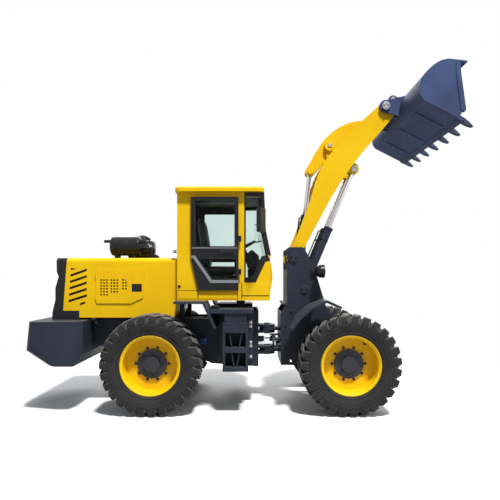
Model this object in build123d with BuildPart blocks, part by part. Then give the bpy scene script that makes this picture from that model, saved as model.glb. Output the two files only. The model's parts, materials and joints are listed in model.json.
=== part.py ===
"""Articulated wheel loader with a raised Z-bar bucket, built from separate named pieces.

Millimetres. X forward, Y left, Z up from the ground. Every x below is measured from the
articulation axis; ORIGIN_X moves the finished pieces so that the whole is centred on X = 0.
"""
import os
from math import atan2, cos, degrees, hypot, radians, sin

from build123d import *

ORIGIN_X = 283.0
FIT = 0.05
GAP = 0.3

# wheels and axles
TYRE_R = 587.5
TYRE_W = 410.0
CROWN_R = 553.0
BEAD_R = 330.0
LUGS = 18
LUG_HALF_ANGLE = 5.38
TRACK = 1570.0
FRONT_X = 935.0
REAR_X = -1385.0
AXLE_Z = TYRE_R
HUB_R = 172.0
DIFF_R = 185.0
SPINDLE_R = 50.0
AXLE_R = 95.0

# articulation
HINGE_PIN_R = 40.0
HINGE_LUG_R = 105.0
UPPER_LUG_Z = (905.0, 945.0)
LOWER_LUG_Z = (625.0, 665.0)
FORK_T = 30.0
STEER_Z = 765.0
STEER_EYE_X = 95.0
STEER_BASE_X = -520.0
STEER_Y = 262.0

# rear frame
RAIL_Y = (360.0, 400.0)
RAIL_Z = (740.0, 1080.0)
BULKHEAD_X = (-147.0, -122.0)
CW_FRONT = -2209.0
CW_HALF = 880.0
CW_CHAMFER = 90.0

# hood
HOOD_HALF = 560.0
HOOD_T = 12.0
HOOD_TOP = 1848.0
HOOD_BOTTOM = 1111.0
HOOD_FRONT = -1121.0
SIDE_DOOR_X = (-2125.0, -1527.0)
SIDE_DOOR_Z = (1286.0, 1697.0)
SIDE_DOOR_T = 10.0
HOOD_EDGE_R = 55.0
LOUVRES = 5
LOUVRE_PITCH = 79.0
PERF_PITCH = 36.0
PERF_R = 13.0

# cab
CAB_HALF = 630.0
CAB_T = 50.0
CAB_BOTTOM = 1325.0
CAB_TOP = 2646.0
CAB_REAR = -1119.0
ROOF_TOP = 2707.0
DOOR_X = (-947.0, -370.0)
DOOR_Z = (1535.0, 2583.0)
DOOR_SILL_X = -712.0
DOOR_STEP_Z = 1835.0
DOOR_T = 30.0

# tower, boom and linkage: side view points at the raised rest pose
TOWER_OUT = (330.0, 360.0)
TOWER_IN = (75.0, 95.0)
TOWER_REAR = 245.0
FENDER_R = (745.0, 770.0)
FENDER_Y = (480.0, 930.0)
ARM_Y = (235.0, 295.0)
BOOM_PIN = (325.0, 1854.0)
BUCKET_PIN = (1510.0, 3800.0)
ROCKER_PIN = (829.0, 3348.0)
ROCKER_END = (1247.0, 3598.0)
LINK_EYE = (1678.0, 3971.0)
TILT_EYE = (576.0, 3024.0)
TILT_BASE = (440.0, 1748.0)
LIFT_BASE = (465.0, 1450.0)
LIFT_EYE = (1127.0, 3020.0)
CROSS_TUBE = (905.0, 3120.0)
LIFT_Y = 165.0
LIFT_ROD_R = 27.0
TIE_DOWN = (300.0, 545.0)
PIN_R = 35.0

# bucket: local u along the floor from the heel, v up from the floor
BUCKET_TILT = 27.0
BUCKET_HEEL = (230.0, -60.0)
BUCKET_HALF = 1050.0
BUCKET_PLATE = 18.0
TOOTH_HALF = 33.0
TEETH = 7


def bucket_point(u, v):
    """Bucket floor frame to the side view, measured from the bucket pin."""
    c, s = cos(radians(BUCKET_TILT)), sin(radians(BUCKET_TILT))
    du, dv = u + BUCKET_HEEL[0], v + BUCKET_HEEL[1]
    return (BUCKET_PIN[0] + du * c + dv * s, BUCKET_PIN[1] - du * s + dv * c)


def plate(points, y0, y1, mode=Mode.ADD, corner=0.0):
    """Extrude a side-view outline between two y values, with its corners rounded if asked."""
    with BuildSketch(Plane.XZ.offset(-y1)) as sk:
        with BuildLine():
            Polyline(*points, close=True)
        make_face()
        if corner:
            fillet(sk.vertices(), corner)
    extrude(sk.sketch, amount=y1 - y0, mode=mode)


def turned(points, y, z, corner=0.0):
    """Revolve a half section of (x, radius) points about the fore-and-aft line at y, z."""
    with BuildSketch(Plane.XZ.offset(-y)) as sk:
        with BuildLine():
            Polyline(*[(px, z + r) for px, r in points], close=True)
        make_face()
        if corner:
            fillet([v for v in sk.vertices() if v.Y > z + 1], corner)
    revolve(sk.sketch, axis=Axis((0, y, z), (1, 0, 0)))


def disc(centre, r, y0, y1, mode=Mode.ADD):
    """Cylinder along Y at a side-view point."""
    with BuildSketch(Plane.XZ.offset(-y1)) as sk:
        with Locations(centre):
            Circle(r)
    extrude(sk.sketch, amount=y1 - y0, mode=mode)


def post(centre, r, z0, z1, mode=Mode.ADD):
    """Cylinder along Z at a plan point."""
    with BuildSketch(Plane.XY.offset(z0)) as sk:
        with Locations(centre):
            Circle(r)
    extrude(sk.sketch, amount=z1 - z0, mode=mode)


def block(x, y, z, mode=Mode.ADD):
    """Box from pairs of limits."""
    with Locations(((x[0] + x[1]) / 2, (y[0] + y[1]) / 2, (z[0] + z[1]) / 2)):
        Box(x[1] - x[0], y[1] - y[0], z[1] - z[0], mode=mode)


def sided(limits, side):
    """Y limits on the left (+1) or right (-1) side."""
    return tuple(sorted((limits[0] * side, limits[1] * side)))


def arc_strip(centre, radii, a0, a1, y0, y1):
    """Curved strip about a side-view centre, angles in degrees from +X."""
    with BuildSketch(Plane.XZ.offset(-y1)) as sk:
        with BuildLine():
            outer = CenterArc(centre, radii[1], a0, a1 - a0)
            inner = CenterArc(centre, radii[0], a0, a1 - a0)
            Line(outer @ 0, inner @ 0)
            Line(outer @ 1, inner @ 1)
        make_face()
    extrude(sk.sketch, amount=y1 - y0)


def round_end(centre, r, a0, a1, n=10):
    """Points of an arc about a side-view centre, angles in degrees from +X."""
    angles = [radians(a0 + (a1 - a0) * i / n) for i in range(n + 1)]
    return [(centre[0] + r * cos(a), centre[1] + r * sin(a)) for a in angles]


def capsule(p, q, rp, rq):
    """Outline of a tapered bar with round ends about two points."""
    base = degrees(atan2(q[1] - p[1], q[0] - p[0]))
    return round_end(p, rp, base + 90, base + 270) + round_end(q, rq, base - 90, base + 90)


def along(p, q, d):
    """Point at distance d from p towards q."""
    n = hypot(q[0] - p[0], q[1] - p[1])
    return (p[0] + (q[0] - p[0]) * d / n, p[1] + (q[1] - p[1]) * d / n)


def bar(p, q, y, d0, d1, r, mode=Mode.ADD):
    """Round bar along the line p to q in the side plane y, from distance d0 to d1."""
    start = along(p, q, d0)
    n = hypot(q[0] - p[0], q[1] - p[1])
    axis = Vector((q[0] - p[0]) / n, 0, (q[1] - p[1]) / n)
    with BuildSketch(Plane(origin=(start[0], y, start[1]), x_dir=(0, 1, 0), z_dir=axis)) as sk:
        Circle(r)
    extrude(sk.sketch, amount=d1 - d0, mode=mode)


def flat_bar(p, q, z, d0, d1, r, mode=Mode.ADD):
    """Round bar in plan, along p to q at height z."""
    start = along(p, q, d0)
    n = hypot(q[0] - p[0], q[1] - p[1])
    axis = Vector((q[0] - p[0]) / n, (q[1] - p[1]) / n, 0)
    with BuildSketch(Plane(origin=(start[0], start[1], z), x_dir=(0, 0, 1), z_dir=axis)) as sk:
        Circle(r)
    extrude(sk.sketch, amount=d1 - d0, mode=mode)


NODES = {}
SIDES = {"right": -1, "left": 1}

# rear frame with hinge forks and pins
with BuildPart() as rear_frame:
    for side in (-1, 1):
        under = [(CW_FRONT, RAIL_Z[0]), (-1700, RAIL_Z[0]), (-1560, 800), (-1210, 800), (-1060, RAIL_Z[0]), (-720, 520)]
        above = [(-717, 1187), (-760, RAIL_Z[1]), (CW_FRONT, RAIL_Z[1])]
        rail = under + [(BULKHEAD_X[1], 480), (BULKHEAD_X[1], 1187)] + above
        plate(rail, *sided(RAIL_Y, side))
    block(BULKHEAD_X, (-RAIL_Y[0], RAIL_Y[0]), (830, 1187))
    block(BULKHEAD_X, (-RAIL_Y[0], RAIL_Y[0]), (480, 700))
    for x in (-2189, -1300):
        for side in (-1, 1):
            block((x, x + 60), sided((RAIL_Y[0], HOOD_HALF), side), (RAIL_Z[1], HOOD_BOTTOM))
    block((-2209, -2189), (-RAIL_Y[0], RAIL_Y[0]), RAIL_Z)
    block((-740, -720), (-RAIL_Y[0], RAIL_Y[0]), (520, 640))
    for z0, z1 in (UPPER_LUG_Z, LOWER_LUG_Z):
        for low in (z0 - 5 - FORK_T, z1 + 5):
            block((BULKHEAD_X[1], 0), (-HINGE_LUG_R, HINGE_LUG_R), (low, low + FORK_T))
            post((0, 0), HINGE_LUG_R, low, low + FORK_T)
        post((0, 0), HINGE_PIN_R, z0 - 50, z1 + 50)
    for side in (-1, 1):
        for z in (STEER_Z - 65, STEER_Z + 45):
            block((STEER_BASE_X - 40, STEER_BASE_X + 40), sided((STEER_Y - 45, RAIL_Y[0]), side), (z, z + 20))
        post((STEER_BASE_X, side * STEER_Y), 22, STEER_Z - 65, STEER_Z + 65)
    for side in (-1, 1):
        block((-1119, -1060), sided((RAIL_Y[0], RAIL_Y[1]), side), (RAIL_Z[1], CAB_BOTTOM))
        block((-400, -300), sided((RAIL_Y[0], RAIL_Y[1]), side), (1187, CAB_BOTTOM))
NODES["rear_frame"] = rear_frame

with BuildPart() as counterweight:
    outline = [(-2838, 1087), (-2871, 745), (-2601, 564), (-2300, 564), (CW_FRONT, 700), (CW_FRONT, 1087)]
    plate(outline, -CW_HALF, CW_HALF)
    outer_edges = counterweight.edges().filter_by(lambda e: abs(abs(e.center().Y) - CW_HALF) < 1)
    chamfer(outer_edges.filter_by(Axis.Z), CW_CHAMFER)
    outer_edges = counterweight.edges().filter_by(lambda e: abs(abs(e.center().Y) - CW_HALF) < 1)
    fillet(outer_edges.filter_by(lambda e: e.center().X < -2720), CW_CHAMFER)
    block((-2871, -2700), (-45, 45), (780, 900), mode=Mode.SUBTRACT)
    post((-2790, 0), 25, 700, 980, mode=Mode.SUBTRACT)
NODES["counterweight"] = counterweight

with BuildPart() as side_tanks:
    for side in (-1, 1):
        block((-600, -195), sided((RAIL_Y[1], 620), side), (600, 1187))
        block((-551, -250), sided((620, 900), side), (510, 1077))
        for z in (560, 790):
            block((-520, -281), sided((700, 901), side), (z, z + 170), mode=Mode.SUBTRACT)
        block((-690, -190), sided((RAIL_Y[1], 900), side), (1187, 1233))
        block((-530, -271), sided((620, 880), side), (1077, 1187))
NODES["side_tanks"] = side_tanks

with BuildPart() as rear_fenders:
    for side in (-1, 1):
        strip = [(CAB_REAR, CAB_BOTTOM), (-764, CAB_BOTTOM), (-622, 1015), (-650, 1015), (-782, 1300)]
        strip = strip + [(CAB_REAR, 1300)]
        plate(strip, *sided((RAIL_Y[1], 950), side))
NODES["rear_fenders"] = rear_fenders

# engine, gearbox and drive line
with BuildPart() as engine:
    block((-2150, -1420), (-280, 280), (820, 1560))
    block((-1420, -1190), (-210, 210), (830, 1250))
    block((-2300, -2200), (-440, 440), (1130, 1760))
    block((-2200, -2150), (-200, 200), (1150, 1500))
    block((-2180, -1600), (-RAIL_Y[0], RAIL_Y[0]), (800, 820))
NODES["engine"] = engine

with BuildPart() as gearbox:
    block((-1190, -760), (-240, 240), (660, 1060))
    disc_axis = Plane(origin=(-760, 0, STEER_Z + 20), z_dir=(1, 0, 0))
    with BuildSketch(disc_axis) as sk:
        Circle(34)
    extrude(sk.sketch, amount=720)
    block((-1190, -820), (-RAIL_Y[0], RAIL_Y[0]), (1000, 1040))
NODES["gearbox"] = gearbox

for name, axle_x in (("rear_axle", REAR_X), ("front_axle", FRONT_X)):
    with BuildPart() as axle:
        disc((axle_x, AXLE_Z), AXLE_R, -700, 700)
        disc((axle_x, AXLE_Z), SPINDLE_R, -765, 765)
        with Locations((axle_x, 0, AXLE_Z)):
            Sphere(DIFF_R)
            for side in (-1, 1):
                with Locations(Location((0, side * 265, 0), (-90 * side, 0, 0))):
                    Cone(150, AXLE_R, 310)
        for side in (-1, 1):
            top = 800 if name == "rear_axle" else 740
            block((axle_x - 90, axle_x + 90), sided((300, 400), side), (AXLE_Z, top))
    NODES[name] = axle

with BuildPart() as drive_shaft:
    start = Vector(40, 0, STEER_Z + 20)
    end = Vector(FRONT_X - 170, 0, AXLE_Z + 20)
    with BuildSketch(Plane(origin=start, z_dir=end - start)) as sk:
        Circle(34)
    extrude(sk.sketch, amount=(end - start).length)
    with Locations((FRONT_X, 0, AXLE_Z)):
        Sphere(DIFF_R, mode=Mode.SUBTRACT)
NODES["drive_shaft"] = drive_shaft

# hood with overlaid engine doors, rear grille and top canisters
HOOD_REAR = [(-2486, HOOD_TOP), (-2534, 1196)]
DOOR_PANEL = [(SIDE_DOOR_X[0], SIDE_DOOR_Z[0]), (-1697, SIDE_DOOR_Z[0]), (-1547, 1355),
              (SIDE_DOOR_X[1], SIDE_DOOR_Z[1]), (SIDE_DOOR_X[0], SIDE_DOOR_Z[1])]
PANEL_HOLE = [(SIDE_DOOR_X[0] + 20, SIDE_DOOR_Z[0] + 20), (-1703, SIDE_DOOR_Z[0] + 20), (-1567, 1370),
              (SIDE_DOOR_X[1] - 22, SIDE_DOOR_Z[1] - 20), (SIDE_DOOR_X[0] + 20, SIDE_DOOR_Z[1] - 20)]
PERF_PATCHES = [(-2077, -1976, 1381, 1586), (-1948, -1853, 1415, 1586), (-1819, -1731, 1456, 1586)]

with BuildPart() as hood_room:
    ceiling, front = HOOD_TOP - HOOD_T, HOOD_FRONT - HOOD_T
    inner = [(-2600, ceiling), (front, ceiling), (front, 1330), (-1177, HOOD_BOTTOM - 1), (-2600, HOOD_BOTTOM - 1)]
    plate(inner, HOOD_T - HOOD_HALF, HOOD_HALF - HOOD_T)
    fillet(hood_room.faces().sort_by(Axis.Z)[-1].edges().filter_by(Axis.X), HOOD_EDGE_R - HOOD_T)

with BuildPart() as hood:
    outer = HOOD_REAR[:1] + [(HOOD_FRONT, HOOD_TOP), (HOOD_FRONT, 1330), (-1165, HOOD_BOTTOM),
                             (-2334, HOOD_BOTTOM), (-2334, 1196)] + HOOD_REAR[1:]
    plate(outer, -HOOD_HALF, HOOD_HALF)
    fillet(hood.faces().sort_by(Axis.Z)[-1].edges().filter_by(Axis.X), HOOD_EDGE_R)
    add(hood_room.part, mode=Mode.SUBTRACT)
    for side in (-1, 1):
        hole = sided((HOOD_HALF - 40, HOOD_HALF + 1), side)
        plate(PANEL_HOLE, *hole, mode=Mode.SUBTRACT)
        for i in range(LOUVRES):
            left, right = (-2445 - 6 * i, 1613 - LOUVRE_PITCH * i), (-2242, 1685 - LOUVRE_PITCH * i)
            slot = [left, right, (right[0], right[1] + 30), (left[0], left[1] + 30)]
            plate(slot, *hole, mode=Mode.SUBTRACT)
        plate([(-2440, 1692), (-2372, 1716), (-2440, 1722)], *hole, mode=Mode.SUBTRACT)
        plate([(-2335, 1258), (-2262, 1284), (-2262, 1310), (-2320, 1290)], *hole, mode=Mode.SUBTRACT)
NODES["hood"] = hood

with BuildPart() as rear_grille:
    back = [(-2616, HOOD_TOP), (-2612, 1672), (-2589, 1619), (-2630, 1474), (-2630, 1328), (-2664, 1184)]
    foot = [(-2670, 1090), (-2334, 1090), (-2334, 1196)]
    plate(HOOD_REAR[:1] + back + foot + HOOD_REAR[1:], -HOOD_HALF, HOOD_HALF)
    fillet(rear_grille.faces().sort_by(Axis.Z)[-1].edges().filter_by(Axis.X), HOOD_EDGE_R)
    for i in range(8):
        z = 1240 + i * 62
        block((-2700, -2560), (-440, 440), (z, z + 34), mode=Mode.SUBTRACT)
NODES["rear_grille"] = rear_grille

for name, side in SIDES.items():
    with BuildPart() as side_door:
        face = HOOD_HALF + 2 + SIDE_DOOR_T
        plate(DOOR_PANEL, *sided((HOOD_HALF + 2, face), side), corner=25)
        for x0, x1, z0, z1 in PERF_PATCHES:
            columns, rows = round((x1 - x0) / PERF_PITCH), round((z1 - z0) / PERF_PITCH)
            with BuildSketch(Plane.XZ.offset(-max(side * face, side * HOOD_HALF))) as sk:
                with Locations(((x0 + x1) / 2, (z0 + z1) / 2)):
                    with GridLocations(PERF_PITCH, PERF_PITCH, columns, rows):
                        RegularPolygon(PERF_R, 6)
            extrude(sk.sketch, amount=face - HOOD_HALF, mode=Mode.SUBTRACT)
        block((-1687, -1561), sided((face - 6, face), side), (1429, 1527), mode=Mode.SUBTRACT)
        block((-1650, -1598), sided((face - 6, face - 1), side), (1440, 1516))
        post((SIDE_DOOR_X[0], side * face), 8, 1330, 1380)
        post((SIDE_DOOR_X[0], side * face), 8, 1600, 1650)
    NODES["engine_door_" + name] = side_door

MUFFLER_Y, MUFFLER_Z, MUFFLER_R = -170.0, 2014.0, 123.0
with BuildPart() as muffler:
    turned([(-2045, 0), (-2045, MUFFLER_R), (-1653, MUFFLER_R), (-1653, 0)], MUFFLER_Y, MUFFLER_Z, corner=30)
    turned([(-2140, 0), (-2140, 20), (-2020, 20), (-2020, 0)], MUFFLER_Y, 2079)
    for x in (-1990, -1760):
        block((x, x + 50), (MUFFLER_Y - 60, MUFFLER_Y + 60), (HOOD_TOP, 1930))
    for x_end, y, z in ((-1501, MUFFLER_Y - 45, 2072), (-1457, MUFFLER_Y + 45, 1971)):
        with BuildLine() as route:
            Line((-1690, y, z), (x_end - 80, y, z))
            RadiusArc((x_end - 80, y, z), (x_end, y, z - 80), 80)
            Line((x_end, y, z - 80), (x_end, y, HOOD_TOP))
        with BuildSketch(Plane(origin=(-1690, y, z), z_dir=(1, 0, 0))) as sk:
            Circle(32)
        sweep(sk.sketch, path=route.wire())
NODES["muffler"] = muffler

CLEANER_Y, CLEANER_Z = 130.0, 1990.0
with BuildPart() as air_cleaner:
    turned([(-1900, 0), (-1900, 118), (-1540, 118), (-1540, 0)], CLEANER_Y, CLEANER_Z, corner=24)
    post((-1690, CLEANER_Y), 42, 2080, 2130)
    with BuildSketch(Plane.XZ.offset(-CLEANER_Y)) as sk:
        with BuildLine():
            rim = Polyline((-1690, 2120), (-1690 + 91, 2120), (-1690 + 91, 2140))
            Spline(rim @ 1, (-1690 + 60, 2172), (-1690, 2182))
            Line((-1690, 2182), (-1690, 2120))
        make_face()
    revolve(sk.sketch, axis=Axis((-1690, CLEANER_Y, 0), (0, 0, 1)))
    for x in (-1870, -1640):
        block((x, x + 50), (CLEANER_Y - 70, CLEANER_Y + 70), (HOOD_TOP, 1910))
    post((-1580, CLEANER_Y), 48, HOOD_TOP, CLEANER_Z)
NODES["air_cleaner"] = air_cleaner

# cab: hollow shell, roof, glass, furniture
FRONT_LINE = [(-66, CAB_TOP), (-45, 2180), (17, 1876), (30, 1824), (59, 1607), (17, 1399), (12, CAB_BOTTOM)]
INNER_LINE = [(x - CAB_T, z) for x, z in FRONT_LINE]
# plan view cut that rounds the nose, so that the tower's corner passes at full steering lock
NOSE_TAPER = [(70, 350), (24, 430), (17, CAB_HALF + 1), (70, CAB_HALF + 1)]
QUARTER = [(-300, 2590), (-90, 2590), (-72, 2180), (-15, 1880), (-91, 1866), (-198, 1607), (-300, 1607)]
DOOR_SHAPE = [(DOOR_X[0], DOOR_Z[1]), (DOOR_X[1], DOOR_Z[1]), (DOOR_X[1], DOOR_Z[0]),
              (DOOR_SILL_X, DOOR_Z[0]), (DOOR_X[0] + 30, DOOR_STEP_Z), (DOOR_X[0], DOOR_STEP_Z)]
DOOR_HOLE = [(DOOR_X[0] + 40, DOOR_Z[1] - 40), (DOOR_X[1] - 40, DOOR_Z[1] - 40), (DOOR_X[1] - 40, DOOR_Z[0] + 40),
             (DOOR_SILL_X + 30, DOOR_Z[0] + 40), (DOOR_X[0] + 65, DOOR_STEP_Z + 30),
             (DOOR_X[0] + 40, DOOR_STEP_Z + 30)]
UPPER_PANE = [(DOOR_X[0] + 50, DOOR_Z[1] - 45), (DOOR_X[1] - 45, DOOR_Z[1] - 45), (DOOR_X[1] - 45, 1985),
              (DOOR_X[0] + 50, 1985)]
LOWER_PANE = [(-860, 1830), (DOOR_X[1] - 30, 1830), (DOOR_X[1] - 30, 1590), (-690, 1590)]
with BuildPart() as cab:
    plate([(CAB_REAR, CAB_TOP)] + FRONT_LINE + [(CAB_REAR, CAB_BOTTOM)], -CAB_HALF, CAB_HALF)
    rear, floor = CAB_REAR + CAB_T, CAB_BOTTOM + 30
    room = [(rear, CAB_TOP + 1), (INNER_LINE[0][0], CAB_TOP + 1)] + INNER_LINE[:6]
    room = room + [(INNER_LINE[6][0], floor), (rear, floor)]
    plate(room, CAB_T - CAB_HALF, CAB_HALF - CAB_T, mode=Mode.SUBTRACT)
    for side in (-1, 1):
        with BuildSketch(Plane.XY.offset(CAB_BOTTOM - 1)) as nose:
            with BuildLine():
                Polyline(*[(x, side * y) for x, y in NOSE_TAPER], close=True)
            make_face()
        extrude(nose.sketch, amount=FRONT_LINE[2][1] - CAB_BOTTOM + 1, mode=Mode.SUBTRACT)
        wall = sided((CAB_HALF - CAB_T - 1, CAB_HALF + 1), side)
        plate(DOOR_HOLE, *wall, mode=Mode.SUBTRACT)
        plate(QUARTER, *wall, mode=Mode.SUBTRACT)
    block((CAB_REAR - 1, CAB_REAR + CAB_T + 1), (-520, 520), (1900, 2540), mode=Mode.SUBTRACT)
    block((-160, 90), (-540, 540), (1780, 2590), mode=Mode.SUBTRACT)
NODES["cab"] = cab

with BuildPart() as cab_roof:
    block((-1144, -57), (-700, 700), (CAB_TOP, ROOF_TOP))
    fillet(cab_roof.edges().filter_by(Axis.Z), 90)
    fillet(cab_roof.faces().sort_by(Axis.Z)[-1].edges(), 25)
NODES["cab_roof"] = cab_roof

with BuildPart() as cab_glass:
    face_in = INNER_LINE[:4] + [(INNER_LINE[3][0] + 8, 1760)]
    strip = face_in + [(x - 6, z) for x, z in reversed(face_in)]
    plate(strip, CAB_T - CAB_HALF, CAB_HALF - CAB_T)
    block((CAB_REAR + CAB_T, CAB_REAR + CAB_T + 6), (-540, 540), (1880, 2560))
    for side in (-1, 1):
        plate(QUARTER, *sided((CAB_HALF - 34, CAB_HALF - 28), side))
NODES["cab_glass"] = cab_glass

with BuildPart() as seat:
    block((-820, -420), (-220, 220), (CAB_BOTTOM + 30, 1640))
    with BuildSketch(Plane.XY.offset(1640)) as sk:
        with Locations((-610, 0)):
            RectangleRounded(460, 500, 90)
    extrude(sk.sketch, amount=120)
    plate([(-840, 1760), (-730, 1760), (-830, 2380), (-920, 2380)], -240, 240, corner=30)
    block((-840, -735), (-235, 235), (1730, 1800))
NODES["seat"] = seat

with BuildPart() as console:
    block((-260, -70), (-160, 160), (CAB_BOTTOM + 30, 1720))
    plate([(-230, 1720), (-150, 1720), (-300, 2010), (-330, 1995)], -35, 35)
    with Locations(Location((-318, 0, 2010), (0, -27, 0))):
        Cylinder(185, 24)
        Cylinder(160, 26, mode=Mode.SUBTRACT)
        Box(330, 36, 16)
        Cylinder(40, 44)
NODES["console"] = console

with BuildPart() as mirrors:
    for side in (-1, 1):
        with BuildSketch(Plane.XY.offset(2138)) as sk:
            with Locations(Location((-100, side * 850, 0), (0, 0, side * 22))):
                RectangleRounded(58, 190, 26)
        extrude(sk.sketch, amount=280)
        block((-80, -60), sided((CAB_HALF, 840), side), (2375, 2395))
NODES["mirrors"] = mirrors

for name, side in SIDES.items():
    with BuildPart() as door:
        y = sided((CAB_HALF + 3, CAB_HALF + 3 + DOOR_T), side)
        plate(DOOR_SHAPE, *y, corner=12)
        plate(UPPER_PANE, *y, mode=Mode.SUBTRACT, corner=20)
        plate(LOWER_PANE, *y, mode=Mode.SUBTRACT)
        block((-560, -420), sided((CAB_HALF + 3 + DOOR_T, CAB_HALF + 55), side), (1900, 1925))
        for z in (1640, 2040):
            post((DOOR_X[1] + 20, side * (CAB_HALF + 40)), 14, z, z + 70)
            block((DOOR_X[1] - 5, DOOR_X[1] + 20), sided((CAB_HALF + 20, CAB_HALF + 33), side), (z, z + 70))
    NODES["door_" + name] = door
    with BuildPart() as door_glass:
        y = sided((CAB_HALF + 12, CAB_HALF + 20), side)
        plate(UPPER_PANE, *y, corner=20)
        plate(LOWER_PANE, *y)
    NODES["door_glass_" + name] = door_glass

# front frame and tower
with BuildPart() as front_frame:
    nose = [(700, 490), (800, 740), (1120, 740), (1120, 860), (860, 1000), (737, 1245), (567, 1802), (450, 1992)]
    tower = [(164, 490)] + nose + [(TOWER_REAR, 1992), (TOWER_REAR, 1280), (164, 1150)]
    web = [(TOWER_REAR, 1990), (500, 1990), (560, 1800), (560, 1400), (450, 1280), (TOWER_REAR, 1280)]
    for side in (-1, 1):
        plate(tower, *sided(TOWER_OUT, side), corner=28)
        plate(web, *sided(TOWER_IN, side), corner=28)
        for centre, r in ((BOOM_PIN, 40), (LIFT_BASE, PIN_R)):
            disc(centre, r, *sided((TOWER_IN[0], TOWER_OUT[1]), side))
    disc(TILT_BASE, PIN_R, -TOWER_IN[1], TOWER_IN[1])
    width = (-TOWER_OUT[1], TOWER_OUT[1])
    block((164, 194), width, (490, 1150))
    block((TOWER_REAR, TOWER_REAR + 20), width, (1260, 1720))
    block((194, 450), width, (1255, 1280))
    block((740, 1040), width, (775, 795))
    for z0, z1 in (UPPER_LUG_Z, LOWER_LUG_Z):
        block((0, 164), (-HINGE_LUG_R, HINGE_LUG_R), (z0, z1))
        post((0, 0), HINGE_LUG_R, z0, z1)
        post((0, 0), HINGE_PIN_R + FIT, z0, z1, mode=Mode.SUBTRACT)
    for side in (-1, 1):
        for z0, z1 in ((STEER_Z - 55, STEER_Z - 35), (STEER_Z + 35, STEER_Z + 55)):
            block((STEER_EYE_X, 164), sided((STEER_Y - 45, STEER_Y + 45), side), (z0, z1))
            post((STEER_EYE_X, side * STEER_Y), 45, z0, z1)
        disc(TIE_DOWN, 20, *sided((320, 370), side), mode=Mode.SUBTRACT)
    with BuildSketch(Plane.YZ.offset(150)) as sk:
        with Locations((0, STEER_Z + 5)):
            Circle(60)
    extrude(sk.sketch, amount=60, mode=Mode.SUBTRACT)
NODES["front_frame"] = front_frame

with BuildPart() as front_fenders:
    hub = (FRONT_X - 30, AXLE_Z + 20)
    for side in (-1, 1):
        arc_strip(hub, FENDER_R, 108, 149, *sided(FENDER_Y, side))
        arc_strip(hub, FENDER_R, 116, 140, *sided((TOWER_OUT[1], FENDER_Y[0]), side))
        lip = [(FRONT_X - 268, AXLE_Z + 728), (FRONT_X - 262, AXLE_Z + 752), (FRONT_X - 98, AXLE_Z + 676),
               (FRONT_X - 106, AXLE_Z + 655)]
        plate(lip, *sided(FENDER_Y, side))
NODES["front_fenders"] = front_fenders

LAMP_Y, LAMP_Z, LAMP_R = 490.0, 1683.0, 80.0
with BuildPart() as head_lamps:
    for side in (-1, 1):
        block((540, 660), sided((TOWER_OUT[1], 400), side), (1655, 1690))
        block((625, 660), sided((400, 500), side), (1655, 1690))
        with BuildSketch(Plane.XZ.offset(-side * LAMP_Y)) as sk:
            with BuildLine():
                lens = Polyline((577, LAMP_Z), (688, LAMP_Z), (688, LAMP_Z + LAMP_R), (645, LAMP_Z + LAMP_R))
                Spline(lens @ 1, (596, LAMP_Z + 52), lens @ 0)
            make_face()
        revolve(sk.sketch, axis=Axis((0, side * LAMP_Y, LAMP_Z), (1, 0, 0)))
NODES["head_lamps"] = head_lamps

# boom with cross tube and brackets
ARM_TOP = [(262, 1915), (350, 2080), (439, 2306), (561, 2640), (684, 3008), (894, 3306), (1229, 3638),
           (1527, 3911)]
ARM_BOTTOM = [(1667, 3757), (1439, 3467), (1229, 3229), (1085, 3042), (820, 2640), (667, 2356), (475, 1993),
              (398, 1812)]
with BuildPart() as boom:
    with BuildSketch(Plane.XZ) as arm:
        with BuildLine():
            top = Spline(*ARM_TOP)
            bottom = Spline(*ARM_BOTTOM)
            Line(top @ 1, bottom @ 0)
            ThreePointArc(bottom @ 1, (292, 1776), top @ 0)
        make_face()
        fillet(arm.vertices().sort_by(Axis.X)[-2:], 36)
    for side in (-1, 1):
        with Locations((0, max(sided(ARM_Y, side)), 0)):
            add(extrude(arm.sketch, amount=ARM_Y[1] - ARM_Y[0], mode=Mode.PRIVATE))
        for y in ((110, 130), (200, 235)):
            plate(capsule(CROSS_TUBE, LIFT_EYE, 90, 65), *sided(y, side))
        plate(capsule(CROSS_TUBE, ROCKER_PIN, 95, 75), *sided((90, 110), side))
    disc(CROSS_TUBE, 80, -ARM_Y[0], ARM_Y[0])
    for side in (-1, 1):
        disc(BOOM_PIN, 40 + FIT, *sided((ARM_Y[0] - 1, ARM_Y[1] + 1), side), mode=Mode.SUBTRACT)
        disc(BUCKET_PIN, PIN_R + FIT, *sided((ARM_Y[0] - 1, ARM_Y[1] + 1), side), mode=Mode.SUBTRACT)
        disc(ROCKER_PIN, PIN_R + FIT, *sided((89, 111), side), mode=Mode.SUBTRACT)
NODES["boom"] = boom

with BuildPart() as bucket_pins:
    for side in (-1, 1):
        disc(BUCKET_PIN, PIN_R, *sided((190, 345), side))
NODES["bucket_pins"] = bucket_pins

with BuildPart() as rocker_pin:
    disc(ROCKER_PIN, PIN_R, -112, 112)
    for side in (-1, 1):
        disc(ROCKER_PIN, 72, *sided((111, 127), side))
NODES["rocker_pin"] = rocker_pin

with BuildPart() as link_pin:
    disc(LINK_EYE, PIN_R, -96, 96)
NODES["link_pin"] = link_pin

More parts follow.
